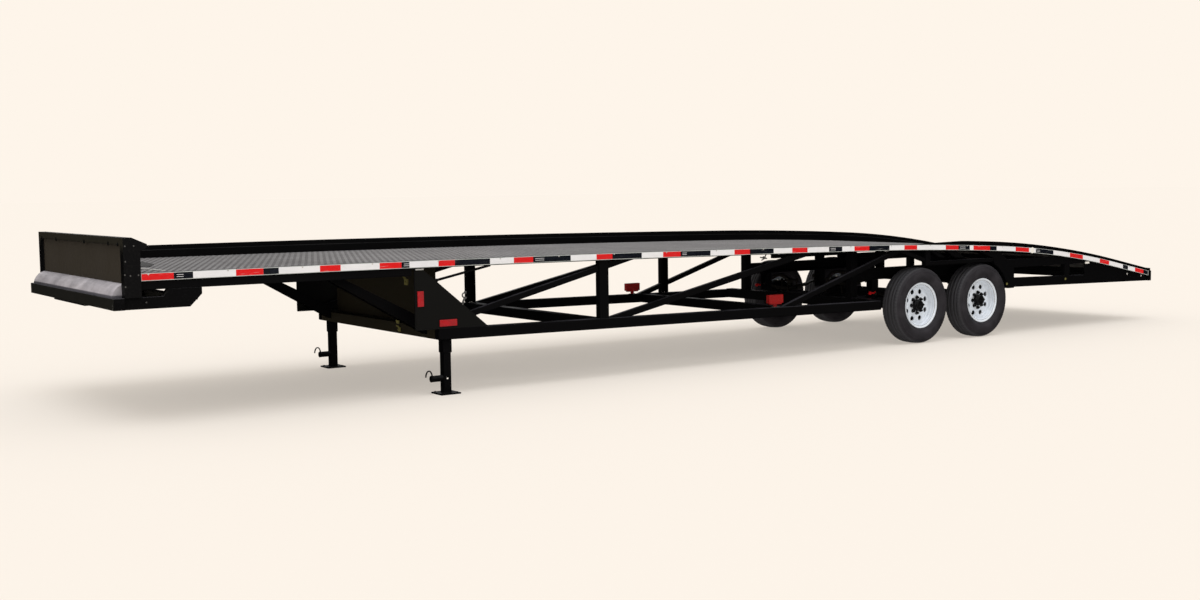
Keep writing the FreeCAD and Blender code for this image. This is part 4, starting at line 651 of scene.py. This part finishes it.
# columns: place along the trailer and height of one bolt in the side plate, in metres
WING_BOLTS = ((6.051, 1.300), (5.990, 1.300), (6.052, 1.191), (6.059, 1.098), (6.020, 1.090),
              (6.057, 1.013), (5.964, 1.093), (5.916, 0.897))
BEAM_BOLT_Y, BEAM_BOLT_HEIGHTS = 1.190, (0.862, 0.884)
SEAM_REAR, SEAM_FRONT, SEAM_TOP = 5.9150, 5.9175, 0.975
POST_WELD_X, POST_WELD_Y, POST_WELD_HEIGHTS = 6.062, 1.150, (0.990, 1.300)
for side, sign in SIDES:
    wing_y = sign * head_side
    heads = [flush_head((x, wing_y, z), (0, sign, 0)) for x, z in WING_BOLTS]
    heads += [flush_head((nose_high.x, sign * BEAM_BOLT_Y, z), (1, 0, 0)) for z in BEAM_BOLT_HEIGHTS]
    new_piece(f"wing_bolts_{side}", heads, dull_zinc)
    seams = [panel((SEAM_REAR, wing_y - sign * 0.001, nose_low.z + 0.004),
                   (SEAM_FRONT, wing_y + sign * LEVEL, SEAM_TOP), 0.00001),
             bead(*((POST_WELD_X, sign * POST_WELD_Y, z) for z in POST_WELD_HEIGHTS), 0.004)]
    new_piece(f"wing_seams_{side}", seams, black)
rail_parts = [bolted_tab(head_face - 0.002, head_face + 0.003, y, 1.310, 0.014, 0.014, 0.0055)
              for y in (-1.099, -0.635, 0.212, 0.858, 1.099)]
new_piece("rail_tabs", rail_parts, satin)
tabs = [bolted_tab(6.046, 6.052, y, 1.007, 0.028, 0.015, 0.007) for y in (-0.712, -0.144, 0.425, 0.990)]
new_piece("sheet_tabs", tabs, dull_zinc)

# -------- dark plate and flat bar on the deck
# A thin dark plate lies on the deck just behind the headboard.
# A bare flat bar follows its left end and is bent slightly towards the tail.

COVER = ((5.800, -0.600), (5.430, -0.490), (5.480, 0.000), (5.600, 0.330), (5.800, 0.300))
FLAT_BAR, BAR_HALF = ((5.770, 0.480), (5.756, 0.600), (5.733, 0.836), (5.715, 1.000)), 0.012
LOWER, UPPER = -0.002, 0.0035
plate = swept([[(x, y, deck_z(x) + rise) for x, y in COVER] for rise in (LOWER, UPPER)])
new_piece("deck_dark_patch", [plate], head_black)
bar_outline = ((-BAR_HALF, LOWER), (-BAR_HALF, UPPER), (BAR_HALF, UPPER), (BAR_HALF, LOWER))
flat_bar = swept([[(x + dx, y, deck_z(x) + rise) for dx, rise in bar_outline] for x, y in FLAT_BAR])
new_piece("deck_flat_bar", [flat_bar], zinc)

# -------- spring pins, axle clamps and ties
# Two U-bolts loop under each axle end and pass through a tie plate on top of the spring, with nuts on it.
# The springs turn on cross pins with big washers in their hangers. All of it is greasy, dusty steel.

greasy = paint("greasy_steel", (0.016, 0.014, 0.012), (0.10, 0.085, 0.06), 0.4, (0.4, 0.6))
pin_red = paint("pin_red", (0.42, 0.008, 0.010), (0.30, 0.05, 0.04), 0.3, (0.35, 0.55))
spring_low, spring_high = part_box("leaf_springs_left")
spring_y = (spring_low.y + spring_high.y) / 2
rail_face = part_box("suspension_rail_left")[1].y
AXLE_RADIUS = 0.0635
LOOP_RADIUS, ROD_RADIUS, LOOP_SPREAD = AXLE_RADIUS + 0.008, 0.0078, 0.048
ROD_RISE, NUT_DROP = 0.034, 0.018
NUT = [(0.0145, -0.001), (0.0145, 0.012), (0.012, 0.014)]
PLATE_HALF, PLATE_HALF_WIDTH = 0.088, 0.062
for end in ("front", "rear"):
    axle_low, axle_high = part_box(f"axle_{end}")
    axle_x, axle_z = (axle_low.x + axle_high.x) / 2, (axle_low.z + axle_high.z) / 2
    for side, sign in SIDES:
        clamp = []
        top = spring_high.z + ROD_RISE
        for dy in (-LOOP_SPREAD, LOOP_SPREAD):
            y = sign * spring_y + dy
            arch = [(axle_x + LOOP_RADIUS * math.cos(a), y, axle_z - LOOP_RADIUS * math.sin(a))
                    for a in np.linspace(0, math.pi, 14)]
            legs = [(arch[0][0], y, top), (arch[-1][0], y, top)]
            clamp.append(tube([legs[0], *arch, legs[1]], ROD_RADIUS))
            clamp += [turned(NUT, (x, y, top - NUT_DROP), (0, 0, 1), 6) for x, _, _ in legs]
        clamp.append(panel(
            (axle_x - PLATE_HALF, sign * spring_y - PLATE_HALF_WIDTH, spring_high.z + 0.002),
            (axle_x + PLATE_HALF, sign * spring_y + PLATE_HALF_WIDTH, spring_high.z + 0.016), 0.003))
        new_piece(f"axle_clamp_{end}_{side}", clamp, greasy, smooth=True)
SPRING_PINS = ((-1.775, 0.530), (-2.617, 0.530), (-2.560, 0.600), (-3.460, 0.530))
CLIP_KNOB = [(0.010, 0.0), (0.018, 0.004), (0.018, 0.020), (0.012, 0.028), (0.004, 0.030)]
# columns: place along the trailer, distance out from the rail, height
CLIP_ARM = ((-1.700, 0.012, 0.540), (-1.735, 0.014, 0.532), (-1.765, 0.010, 0.546))
for side, sign in SIDES:
    pins = [bolt((x, sign * rail_face, z), (0, sign, 0), 0.016) for x, z in SPRING_PINS]
    new_piece(f"spring_pins_{side}", pins, greasy)
    grips = [turned(CLIP_KNOB, (-1.680, sign * (rail_face + 0.001), 0.536), (0, sign, 0), 18),
             tube([(x, sign * (rail_face + dy), z) for x, dy, z in CLIP_ARM], 0.0085)]
    new_piece(f"brake_clips_{side}", grips, pin_red, True)

# -------- rear end trim and lamps
# The end plate carries a row of flat lamps at both sides: two red and one clear lens, level with its face.
# Countersunk bolts hold the plate and hexagon bolts the side bars; a small clear lamp sits on each side.

clamp_olive = paint("clamp_olive", (0.16, 0.15, 0.05), (0.12, 0.11, 0.06), 0.5, (0.4, 0.6))
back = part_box("rear_end_plate")[0].x
TAIL_LENS = [(0.043, -0.004), (0.043, 0.0), (0.040, LEVEL / 2), (0.004, LEVEL)]
LENS_Y, LENS_PITCH, LENS_Z = 1.120, 0.105, 0.530
PLATE_BOLTS = [(y, z) for y in (0.62, 0.40, 0.16) for z in (0.495, 0.568)]
BAR_FACE = 1.200
# columns: place along the trailer and height of a bolt in the side bar, then of a yellow mark on it
SIDE_BOLTS, SIDE_MARKS = ((-5.687, 0.566), (-5.966, 0.534)), ((-4.514, 0.563), (-3.486, 0.558))
for side, sign in SIDES:
    lenses = [turned(TAIL_LENS, (back, sign * (LENS_Y - LENS_PITCH * step), LENS_Z), (-1, 0, 0), 32)
              for step in range(3)]
    new_piece(f"tail_lenses_{side}", lenses[:2], reflector, True)
    new_piece(f"tail_clear_{side}", lenses[2:], clear_lens, True)
    holds = [flush_head((back, sign * y, z), (-1, 0, 0), 0.008) for y, z in PLATE_BOLTS]
    holds += [bolt((x, sign * BAR_FACE, z), (0, sign, 0), 0.009) for x, z in SIDE_BOLTS]
    new_piece(f"tail_bolts_{side}", holds, zinc)
    marks = [bolt((x, sign * BAR_FACE, z), (0, sign, 0), 0.010) for x, z in SIDE_MARKS]
    new_piece(f"tail_marks_{side}", marks, clamp_olive)
    tail_lamp = panel((-4.944, sign * 1.196, 0.722), (-4.872, sign * 1.209, 0.746), 0.003)
    new_piece(f"tail_side_lamp_{side}", [tail_lamp], clear_lens)

# -------- lip along the tail's left edge
# A thin steel flat that stands on the left rail where the deck bends down, to keep tyres from sliding off.
# It rises out of the rail over the wheels and is welded along its foot; the right side has its curb there.

LIP_INNER, LIP_OUTER, LIP_ROOT = 1.197, 1.209, -0.006
LIP_FRONT, LIP_STATIONS = -1.95, 44
# its height over the deck line at five places, from the tail to its front end
LIP_PLACES, LIP_HEIGHTS = (-6.1, -4.4, -3.3, -2.75, LIP_FRONT), (0.030, 0.036, 0.046, 0.044, 0.001)
lip = []
for x in np.linspace(LIP_FRONT, back + 0.004, LIP_STATIONS):
    root, edge = deck_z(x) + LIP_ROOT, deck_z(x) + np.interp(x, LIP_PLACES, LIP_HEIGHTS)
    lip.append([(x, LIP_INNER, root), (x, LIP_INNER, edge), (x, LIP_OUTER, edge), (x, LIP_OUTER, root)])
new_piece("tail_lip", [swept(lip)], curb_black)

# -------- strap ratchet under the rail
# A small steel ratchet hangs under the left and right rail, with its handle folded in and its roll showing.
# It is of zinc-plated steel gone dull, and slides on the rail's lower edge.

RATCHET_Y = 1.190
RATCHET_FRAME = ((0.092, 0.962), (0.076, 0.966), (0.056, 0.985), (0.040, 1.004), (0.036, 1.020))
RATCHET_HANDLE = ((0.108, 0.989), (0.070, 0.983), (0.026, 0.976))
RATCHET_ROLL = [(0.006, -0.010), (0.014, -0.010), (0.014, 0.010), (0.006, 0.010)]
for side, sign in SIDES:
    y = sign * RATCHET_Y
    ratchet = [tube([(x, y, z) for x, z in RATCHET_FRAME], 0.0055, 8),
               tube([(x, y, z) for x, z in RATCHET_HANDLE], 0.006, 8),
               turned(RATCHET_ROLL, (0.060, y, 0.984), (0, sign, 0), 18)]
    new_piece(f"strap_ratchet_{side}", ratchet, dull_zinc, smooth=True)

# -------- landing bulkhead
# A dusty steel sheet that closes the frame between the landing legs, welded in and sprayed black.
# Four olive clamps are bolted to the left half of its front, each with a bent wire over its top.

dust_brown = paint("bulkhead_paint", (0.022, 0.019, 0.012), (0.06, 0.05, 0.03), 0.5, (0.4, 0.6))
dress("landing_bulkhead", dust_brown, PLATE_CORNER)
bulk_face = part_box("landing_bulkhead")[1].x
CLAMP_FACE = bulk_face + 0.010
# columns: place across, height, width and height of a clamp
CLAMPS = ((0.650, 0.900, 0.060, 0.050), (0.476, 0.560, 0.036, 0.044), (0.504, 0.490, 0.030, 0.036),
          (0.860, 0.930, 0.030, 0.060))
clamps = []
for y, z, wide, tall in CLAMPS:
    clamps.append(panel((bulk_face - 0.001, y - wide / 2, z - tall / 2),
                        (CLAMP_FACE, y + wide / 2, z + tall / 2)))
    clamps.append(tube([(CLAMP_FACE + 0.002, y - wide * 0.3, z + tall * 0.6),
                        (CLAMP_FACE + 0.020, y, z + tall * 0.9),
                        (CLAMP_FACE + 0.002, y + wide * 0.3, z + tall * 0.6)], 0.006, 8))
    clamps.append(bolt((CLAMP_FACE, y, z), (1, 0, 0), 0.010))
new_piece("bulkhead_clamps_left", clamps, clamp_olive)

# -------- landing leg handles and foot welds
# Round steel lock pins run through each inner leg: a bent wire handle hooks round the outer end,
# and a bright spring clip shows on the leg's outer face. The foot plate is welded on all round.

# columns: distance past the pin's end, height
HANDLE = ((-0.006, 0.111), (-0.012, 0.130), (-0.013, 0.152), (-0.008, 0.172), (-0.002, 0.186), (0.009, 0.196),
          (0.022, 0.197), (0.033, 0.189), (0.041, 0.175), (0.045, 0.160), (0.046, 0.147))
COLLAR = [(0.0275, 0.0), (0.0275, 0.008), (0.020, 0.011), (0.004, 0.012)]
SPRING_CLIP = [(0.008, -0.002), (0.008, 0.004), (0.005, 0.007), (0.002, 0.008)]
PIN_Z, CLIP_Z = 0.130, 0.128
LEG_WALL = 0.007
FOOT_TOP, FOOT_BOLT = 0.0118, 0.066
WELD_Z = 0.0125
for side, sign in SIDES:
    low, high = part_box(f"leg_inner_{side}")
    leg_y = (low.y + high.y) / 2
    outer_low, outer_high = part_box(f"leg_outer_{side}")
    leg_x = (outer_low.x + outer_high.x) / 2
    tube_half = (outer_high.x - outer_low.x) / 2 - LEG_WALL
    handle = tube([(high.x + dx, leg_y, z) for dx, z in HANDLE], 0.006)
    collar = turned(COLLAR, (high.x - 0.008, leg_y, PIN_Z), (1, 0, 0), 24)
    new_piece(f"pin_handle_{side}", [handle, collar], black, smooth=True)
    clip = turned(SPRING_CLIP, (leg_x + 0.004, leg_y + sign * (tube_half + 0.0005), CLIP_Z), (0, sign, 0))
    new_piece(f"pin_clip_{side}", [clip], clear_lens, True)
    reach = tube_half + 0.001
    square = [(leg_x + a * reach, leg_y + b * reach, WELD_Z)
              for a, b in ((-1, -1), (1, -1), (1, 1), (-1, 1), (-1, -1))]
    foot = [bead(start, end) for start, end in zip(square, square[1:])]
    foot += [bolt((leg_x + a * FOOT_BOLT, leg_y + b * FOOT_BOLT, FOOT_TOP), (0, 0, 1), 0.008)
             for a in (-1, 1) for b in (-1, 1)]
    new_piece(f"foot_welds_{side}", foot, weld_metal)

# -------- leaf springs
# Stacks of curved spring-steel leaves, black from the works and browned by road dust and rust.
# They hang in the rails' hangers and are clamped to the axles by the U-bolts above.

rusted = paint("spring_paint", (0.012, 0.011, 0.010), (0.09, 0.07, 0.05), 0.4, (0.45, 0.65))
for side, _ in SIDES:
    dress(f"leaf_springs_{side}", rusted, 0.0015)

# -------- wheels
# Radial trailer tyres on pressed silver-painted rims; black oil caps and nuts in the middle.
# The rim is rolled and pressed steel with eight hand holes; each wheel turns with its drum on its spindle.

rubber, wire = new_finish("tyre_rubber", Specular_IOR_Level=0.22)
haze = wire.noise(7.0, 5, 0.6)
grain = wire.noise(140.0, 3, 0.6)
from_axis = wire.node("ShaderNodeVectorMath", {"operation": "LENGTH"}, {0: wire.place((1, 1, 0))}, outlet=1)
tread = from_axis.clamp(0.375, 0.385)
side_tone = haze.clamp(0.3, 0.7).mix((0.017, 0.016, 0.021), (0.033, 0.031, 0.039))
feed(wire, Base_Color=tread.mix(side_tone, (0.045, 0.046, 0.054)), Roughness=haze * 0.2 + 0.5,
     Normal=(grain * 0.5 + haze * 0.5).bump(0.0006))


def lathe(profile, segments, relief=None):
    """Turns a closed profile of (radius, height) about Z; relief deepens a radius by index and segment."""
    points, count = [], len(profile)
    for k in range(segments):
        angle = 2 * math.pi * k / segments
        for i, (r, h) in enumerate(profile):
            r += relief(i, k) if relief else 0
            points.append((r * math.cos(angle), r * math.sin(angle), h))
    faces = []
    for k in range(segments):
        nxt = (k + 1) % segments
        for i in range(count):
            j = (i + 1) % count
            faces.append((k * count + i, nxt * count + i, nxt * count + j, k * count + j))
    return points, faces


R, W = 0.3985, 0.1165
# columns: radius, height of one half of the tyre from the bead to the middle of the tread
SIDE = [
    (0.215, 0.08), (0.239, 0.0802), (0.244, 0.083), (0.245, 0.088), (0.249, 0.0925), (0.255, 0.0975),
    (0.256, 0.099), (0.258, 0.0985), (0.27, 0.1065), (0.285, 0.1125), (0.3, 0.1155), (0.313, W),
    (0.325, 0.116), (0.34, 0.1135), (0.352, 0.11), (0.3535, 0.1108), (0.3555, 0.1106), (0.357, 0.108),
    (0.368, 0.104), (0.378, 0.0995), (0.3855, 0.0945), (0.39, 0.0885), (0.3925, 0.083),
    (R - 0.0045, 0.0745), (R - 0.0035, 0.065), (R - 0.012, 0.0625), (R - 0.012, 0.056), (R - 0.0025, 0.0535),
    (R - 0.0015, 0.03), (R - 0.0125, 0.0275), (R - 0.0125, 0.0195), (R - 0.001, 0.017), (R, 0.004),
]
tyre_profile = SIDE + [(r, -h) for r, h in reversed(SIDE)]
shoulder = {i for i, (r, h) in enumerate(tyre_profile) if r > 0.384 and abs(h) > 0.064}
ribs = {i for i, (r, h) in enumerate(tyre_profile) if r > R - 0.005 and abs(h) < 0.06}
TYRE_SEGMENTS = 288
BLOCK_CUT, RIB_SIPE = -0.005, -0.0016


def tread_cuts(i, k):
    """Cuts between the shoulder's blocks and fine slits in the ribs."""
    if i in shoulder and k % 4 == 0:
        return BLOCK_CUT
    if i in ribs and (k + 2) % 6 == 0:
        return RIB_SIPE
    return 0


tyre_mesh = mesh_of("road_tyre", lathe(tyre_profile, TYRE_SEGMENTS, tread_cuts), rubber, True)

silver, wire = new_finish("wheel_silver", Metallic=0.08, Coat_Weight=0.25)
cloud = wire.noise(8.0, 4)
dust = wire.noise(30.0, 4, 0.6).clamp(0.5, 0.8)
# Painted shade: the silver turns dark brown past a depth on the rims' inner side.
inner = 1.0 - wire.axis("Z").clamp(-0.06, -0.015)
clean = (dust * 0.35 + cloud * 0.2).mix((0.80, 0.885, 1.0), (0.50, 0.545, 0.60))
feed(wire, Base_Color=inner.mix(clean, (0.030, 0.027, 0.023)),
     Roughness=cloud * 0.2 + 0.3, Normal=wire.noise(150.0).bump(0.00025))
# columns: radius, height of the rim and its disc, from the outer flange in and back along the inner side
DISC = [
    (0.238, 0.079), (0.24, 0.084), (0.2385, 0.09), (0.233, 0.091), (0.229, 0.0885), (0.225, 0.084),
    (0.217, 0.08), (0.212, 0.074), (0.2095, 0.064), (0.209, 0.05), (0.207, 0.046), (0.202, 0.044),
    (0.199, 0.04), (0.1975, 0.026), (0.193, 0.016), (0.185, 0.011), (0.176, 0.0105), (0.165, 0.013),
    (0.155, 0.0155), (0.135, 0.016), (0.122, 0.015), (0.115, 0.0165), (0.111, 0.021), (0.106, 0.0225),
    (0.062, 0.0225), (0.061, 0.018), (0.061, 0.004), (0.115, 0.006), (0.15, 0.0085), (0.176, 0.002),
    (0.196, -0.001), (0.206, -0.01), (0.206, -0.09), (0.238, -0.091), (0.238, -0.08),
    (0.214, -0.078), (0.214, 0.078),
]
rim_mesh = mesh_of("pressed_rim", lathe(DISC, 144), silver, True)
HAND_HOLES, HOLE_CIRCLE, HOLE_RADIUS = 8, 0.150, 0.0260
PUNCH_BOTTOM, PUNCH_TOP = -0.03, 0.05


def flat_ring(centre, radius, z, angles):
    """Ring of corners about an upright axis."""
    return [(centre[0] + radius * math.cos(a), centre[1] + radius * math.sin(a), z) for a in angles]


punches = []
for k in range(HAND_HOLES):
    angle = 2 * math.pi * (k + 0.5) / HAND_HOLES
    centre = (HOLE_CIRCLE * math.cos(angle), HOLE_CIRCLE * math.sin(angle))
    punches.append(swept([flat_ring(centre, HOLE_RADIUS, z, around(32)) for z in (PUNCH_BOTTOM, PUNCH_TOP)]))
blank = put("rim_blank", rim_mesh)
punch = put("rim_punch", mesh_of("rim_punch", join(punches)))
cut = blank.modifiers.new("holes", "BOOLEAN")
cut.operation = "DIFFERENCE"
cut.object = punch
cut.solver = "EXACT"
pressed = bpy.data.meshes.new_from_object(blank.evaluated_get(bpy.context.evaluated_depsgraph_get()))
pressed.name = "pressed_rim_holes"
for scrap in (blank, punch):
    bpy.data.objects.remove(scrap)

cap_black, wire = new_finish("cap_black", Specular_IOR_Level=0.2)
grime = wire.noise(24.0, 4)
feed(wire, Base_Color=grime.mix((0.002, 0.002, 0.0025), (0.009, 0.009, 0.010)),
     Roughness=grime * 0.3 + 0.3, Normal=grime.bump(0.0004))
# columns: radius, height of the hub with its oil cap and drum
CAP = [
    (0.105, -0.012), (0.105, 0.0015), (0.06, 0.0015), (0.06, 0.025), (0.06, 0.048), (0.0585, 0.051),
    (0.053, 0.052), (0.051, 0.054), (0.051, 0.073), (0.049, 0.0765), (0.045, 0.078), (0.02, 0.0785),
    (0.018, 0.077), (0.0005, 0.077), (0.0005, 0.058), (0.039, 0.058), (0.039, -0.107),
    (0.165, -0.107), (0.165, -0.015), (0.135, -0.012),
]
cap_mesh = mesh_of("hub_and_drum", lathe(CAP, 96), cap_black, True)
LUGS, LUG_CIRCLE, LUG_RADIUS = 8, 0.08255, 0.0155
LUG_BOTTOM, LUG_TOP, STUD_TOP = 0.0226, 0.046, 0.052


def wheel_nut(turn):
    """Chamfered nut on its washer with the stud's end, at an angle round the wheel."""
    centre = (LUG_CIRCLE * math.cos(turn), LUG_CIRCLE * math.sin(turn))

    def solid(corners, *steps):
        angles = [turn + 2 * math.pi * k / corners for k in range(corners)]
        return swept([flat_ring(centre, LUG_RADIUS * share, z, angles) for share, z in steps])

    return join([solid(24, (1.25, LUG_BOTTOM), (1.25, LUG_BOTTOM + 0.003)),
                 solid(6, (1.0, LUG_BOTTOM + 0.003), (1.0, LUG_TOP - 0.003), (0.86, LUG_TOP)),
                 solid(16, (0.55, LUG_TOP - 0.001), (0.55, STUD_TOP), (0.42, STUD_TOP + 0.002))])


lug_mesh = mesh_of("wheel_nuts", join([wheel_nut(2 * math.pi * k / LUGS) for k in range(LUGS)]), cap_black)

for side, sign in SIDES:
    for end in ("front", "rear"):
        low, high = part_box(f"tyre_{end}_{side}")
        turn = Matrix.Translation((low + high) / 2) @ Matrix.Rotation(-sign * math.pi / 2, 4, "X")
        for stem, mesh, slot in (("tyre", tyre_mesh, "tyre"), ("rim", pressed, "wheel_paint"),
                                 ("hub", cap_mesh, "hub_black"), ("nuts", lug_mesh, "hub_black")):
            item = put(f"{stem}_{end}_{side}_dressed", mesh)
            item.matrix_world = turn
            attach(item, f"wheel_{end}_{side}")
            if stem != "nuts":
                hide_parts(f"{stem}_{end}_{side}")

# -------- side lamps
# Red marker lamps with a moulded, ribbed plastic lens, one over each lower chord.
# Each stands on a small plated foot that two bolts hold to the chord's top.

lens_red, wire = new_finish("lamp_lens", Coat_Weight=0.6)
prism = wire.cells(160.0)
feed(wire, Base_Color=prism.mix((0.42, 0.006, 0.006), (0.16, 0.002, 0.002)),
     Roughness=prism * 0.2 + 0.2, Normal=prism.bump(0.001))
FOOT_HALF, FOOT_HALF_WIDTH, FOOT_THICK, FOOT_DROP = 0.045, 0.017, 0.006, 0.004
FOOT_BOLTS = (-0.033, 0.033)
for side, sign in SIDES:
    dress(f"side_lamp_{side}", lens_red, PLATE_CORNER)
    low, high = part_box(f"side_lamp_{side}")
    middle, y = (low.x + high.x) / 2, (low.y + high.y) / 2
    bottom = low.z - FOOT_DROP
    foot = [panel((middle - FOOT_HALF, y - FOOT_HALF_WIDTH, bottom),
                  (middle + FOOT_HALF, y + FOOT_HALF_WIDTH, bottom + FOOT_THICK), 0.001)]
    foot += [bolt((middle + dx, y, bottom + FOOT_THICK), (0, 0, 1), 0.006) for dx in FOOT_BOLTS]
    new_piece(f"side_lamp_foot_{side}", foot, dull_zinc)

# -------- floor, light and camera
# A plain pale studio floor with no edge in sight, a broad soft sun and a pale room all round.
# Five large panels show only as reflections; the camera stands off the trailer's left front corner.

CREAM = (0.991, 0.913, 0.823)
SUN_SHARE, GLOW_SHARE = 0.35, 0.42
FLOOR_REACH = 400.0
floor_paint, wire = new_finish("studio_floor", Specular_IOR_Level=0.0, Roughness=1.0,
                               Emission_Color=(*CREAM, 1), Emission_Strength=GLOW_SHARE)
floor_tone = tuple((1 - GLOW_SHARE) * c / (c + SUN_SHARE) for c in CREAM)
feed(wire, Base_Color=wire.noise(0.4, 2).mix(tuple(c * 0.998 for c in floor_tone),
                                                      tuple(c * 1.002 for c in floor_tone)))
points = [(x, y, 0.0) for y in (-FLOOR_REACH, FLOOR_REACH) for x in (-FLOOR_REACH, FLOOR_REACH)]
floor = put("studio_floor", mesh_of("studio_floor", (points, [(0, 1, 3, 2)]), floor_paint))
floor.visible_glossy = False
floor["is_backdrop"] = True

world = bpy.data.worlds.new("room")
bpy.context.scene.world = world
world.use_nodes = True
room = world.node_tree.nodes["Background"]
room.inputs["Color"].default_value = (*CREAM, 1)
room.inputs["Strength"].default_value = 1.0
world.cycles_visibility.glossy = False

sun = bpy.data.lights.new("soft_sun", "SUN")
sun.energy = SUN_SHARE * math.pi
sun.angle = math.radians(50)
put("soft_sun", sun).rotation_euler = (math.radians(-14), math.radians(6), 0)


def soft_box(name, size, power, place, aim):
    """Broad panel that shows only in reflections."""
    lamp = bpy.data.lights.new(name, "AREA")
    lamp.shape = "RECTANGLE"
    lamp.size, lamp.size_y = size
    lamp.energy = power
    item = put(name, lamp)
    item.location = place
    item.rotation_euler = (Vector(aim) - Vector(place)).to_track_quat("-Z", "Y").to_euler()
    item.visible_diffuse = False


soft_box("overhead_box", (24, 14), 1300, (0, 0, 12), (0, 0, 0))
soft_box("near_side_box", (20, 4), 500, (2, 14, 6), (0, 0, 1))
soft_box("far_side_box", (20, 4), 300, (-2, -14, 6), (0, 0, 1))
soft_box("front_box", (6, 4), 160, (16, 0, 6), (5, 0, 1))
soft_box("rear_box", (6, 4), 160, (-16, 0, 6), (-5, 0, 1))

camera = bpy.data.cameras.new("camera")
camera.sensor_width = 36
camera.lens = 41.41
view = put("camera", camera)
view.location = (8.869, 11.057, 1.653)
view.rotation_euler = [math.radians(angle) for angle in (85.42, 0.76, 144.99)]
bpy.context.scene.camera = view
bpy.context.scene.view_settings.view_transform = "Standard"

low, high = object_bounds()
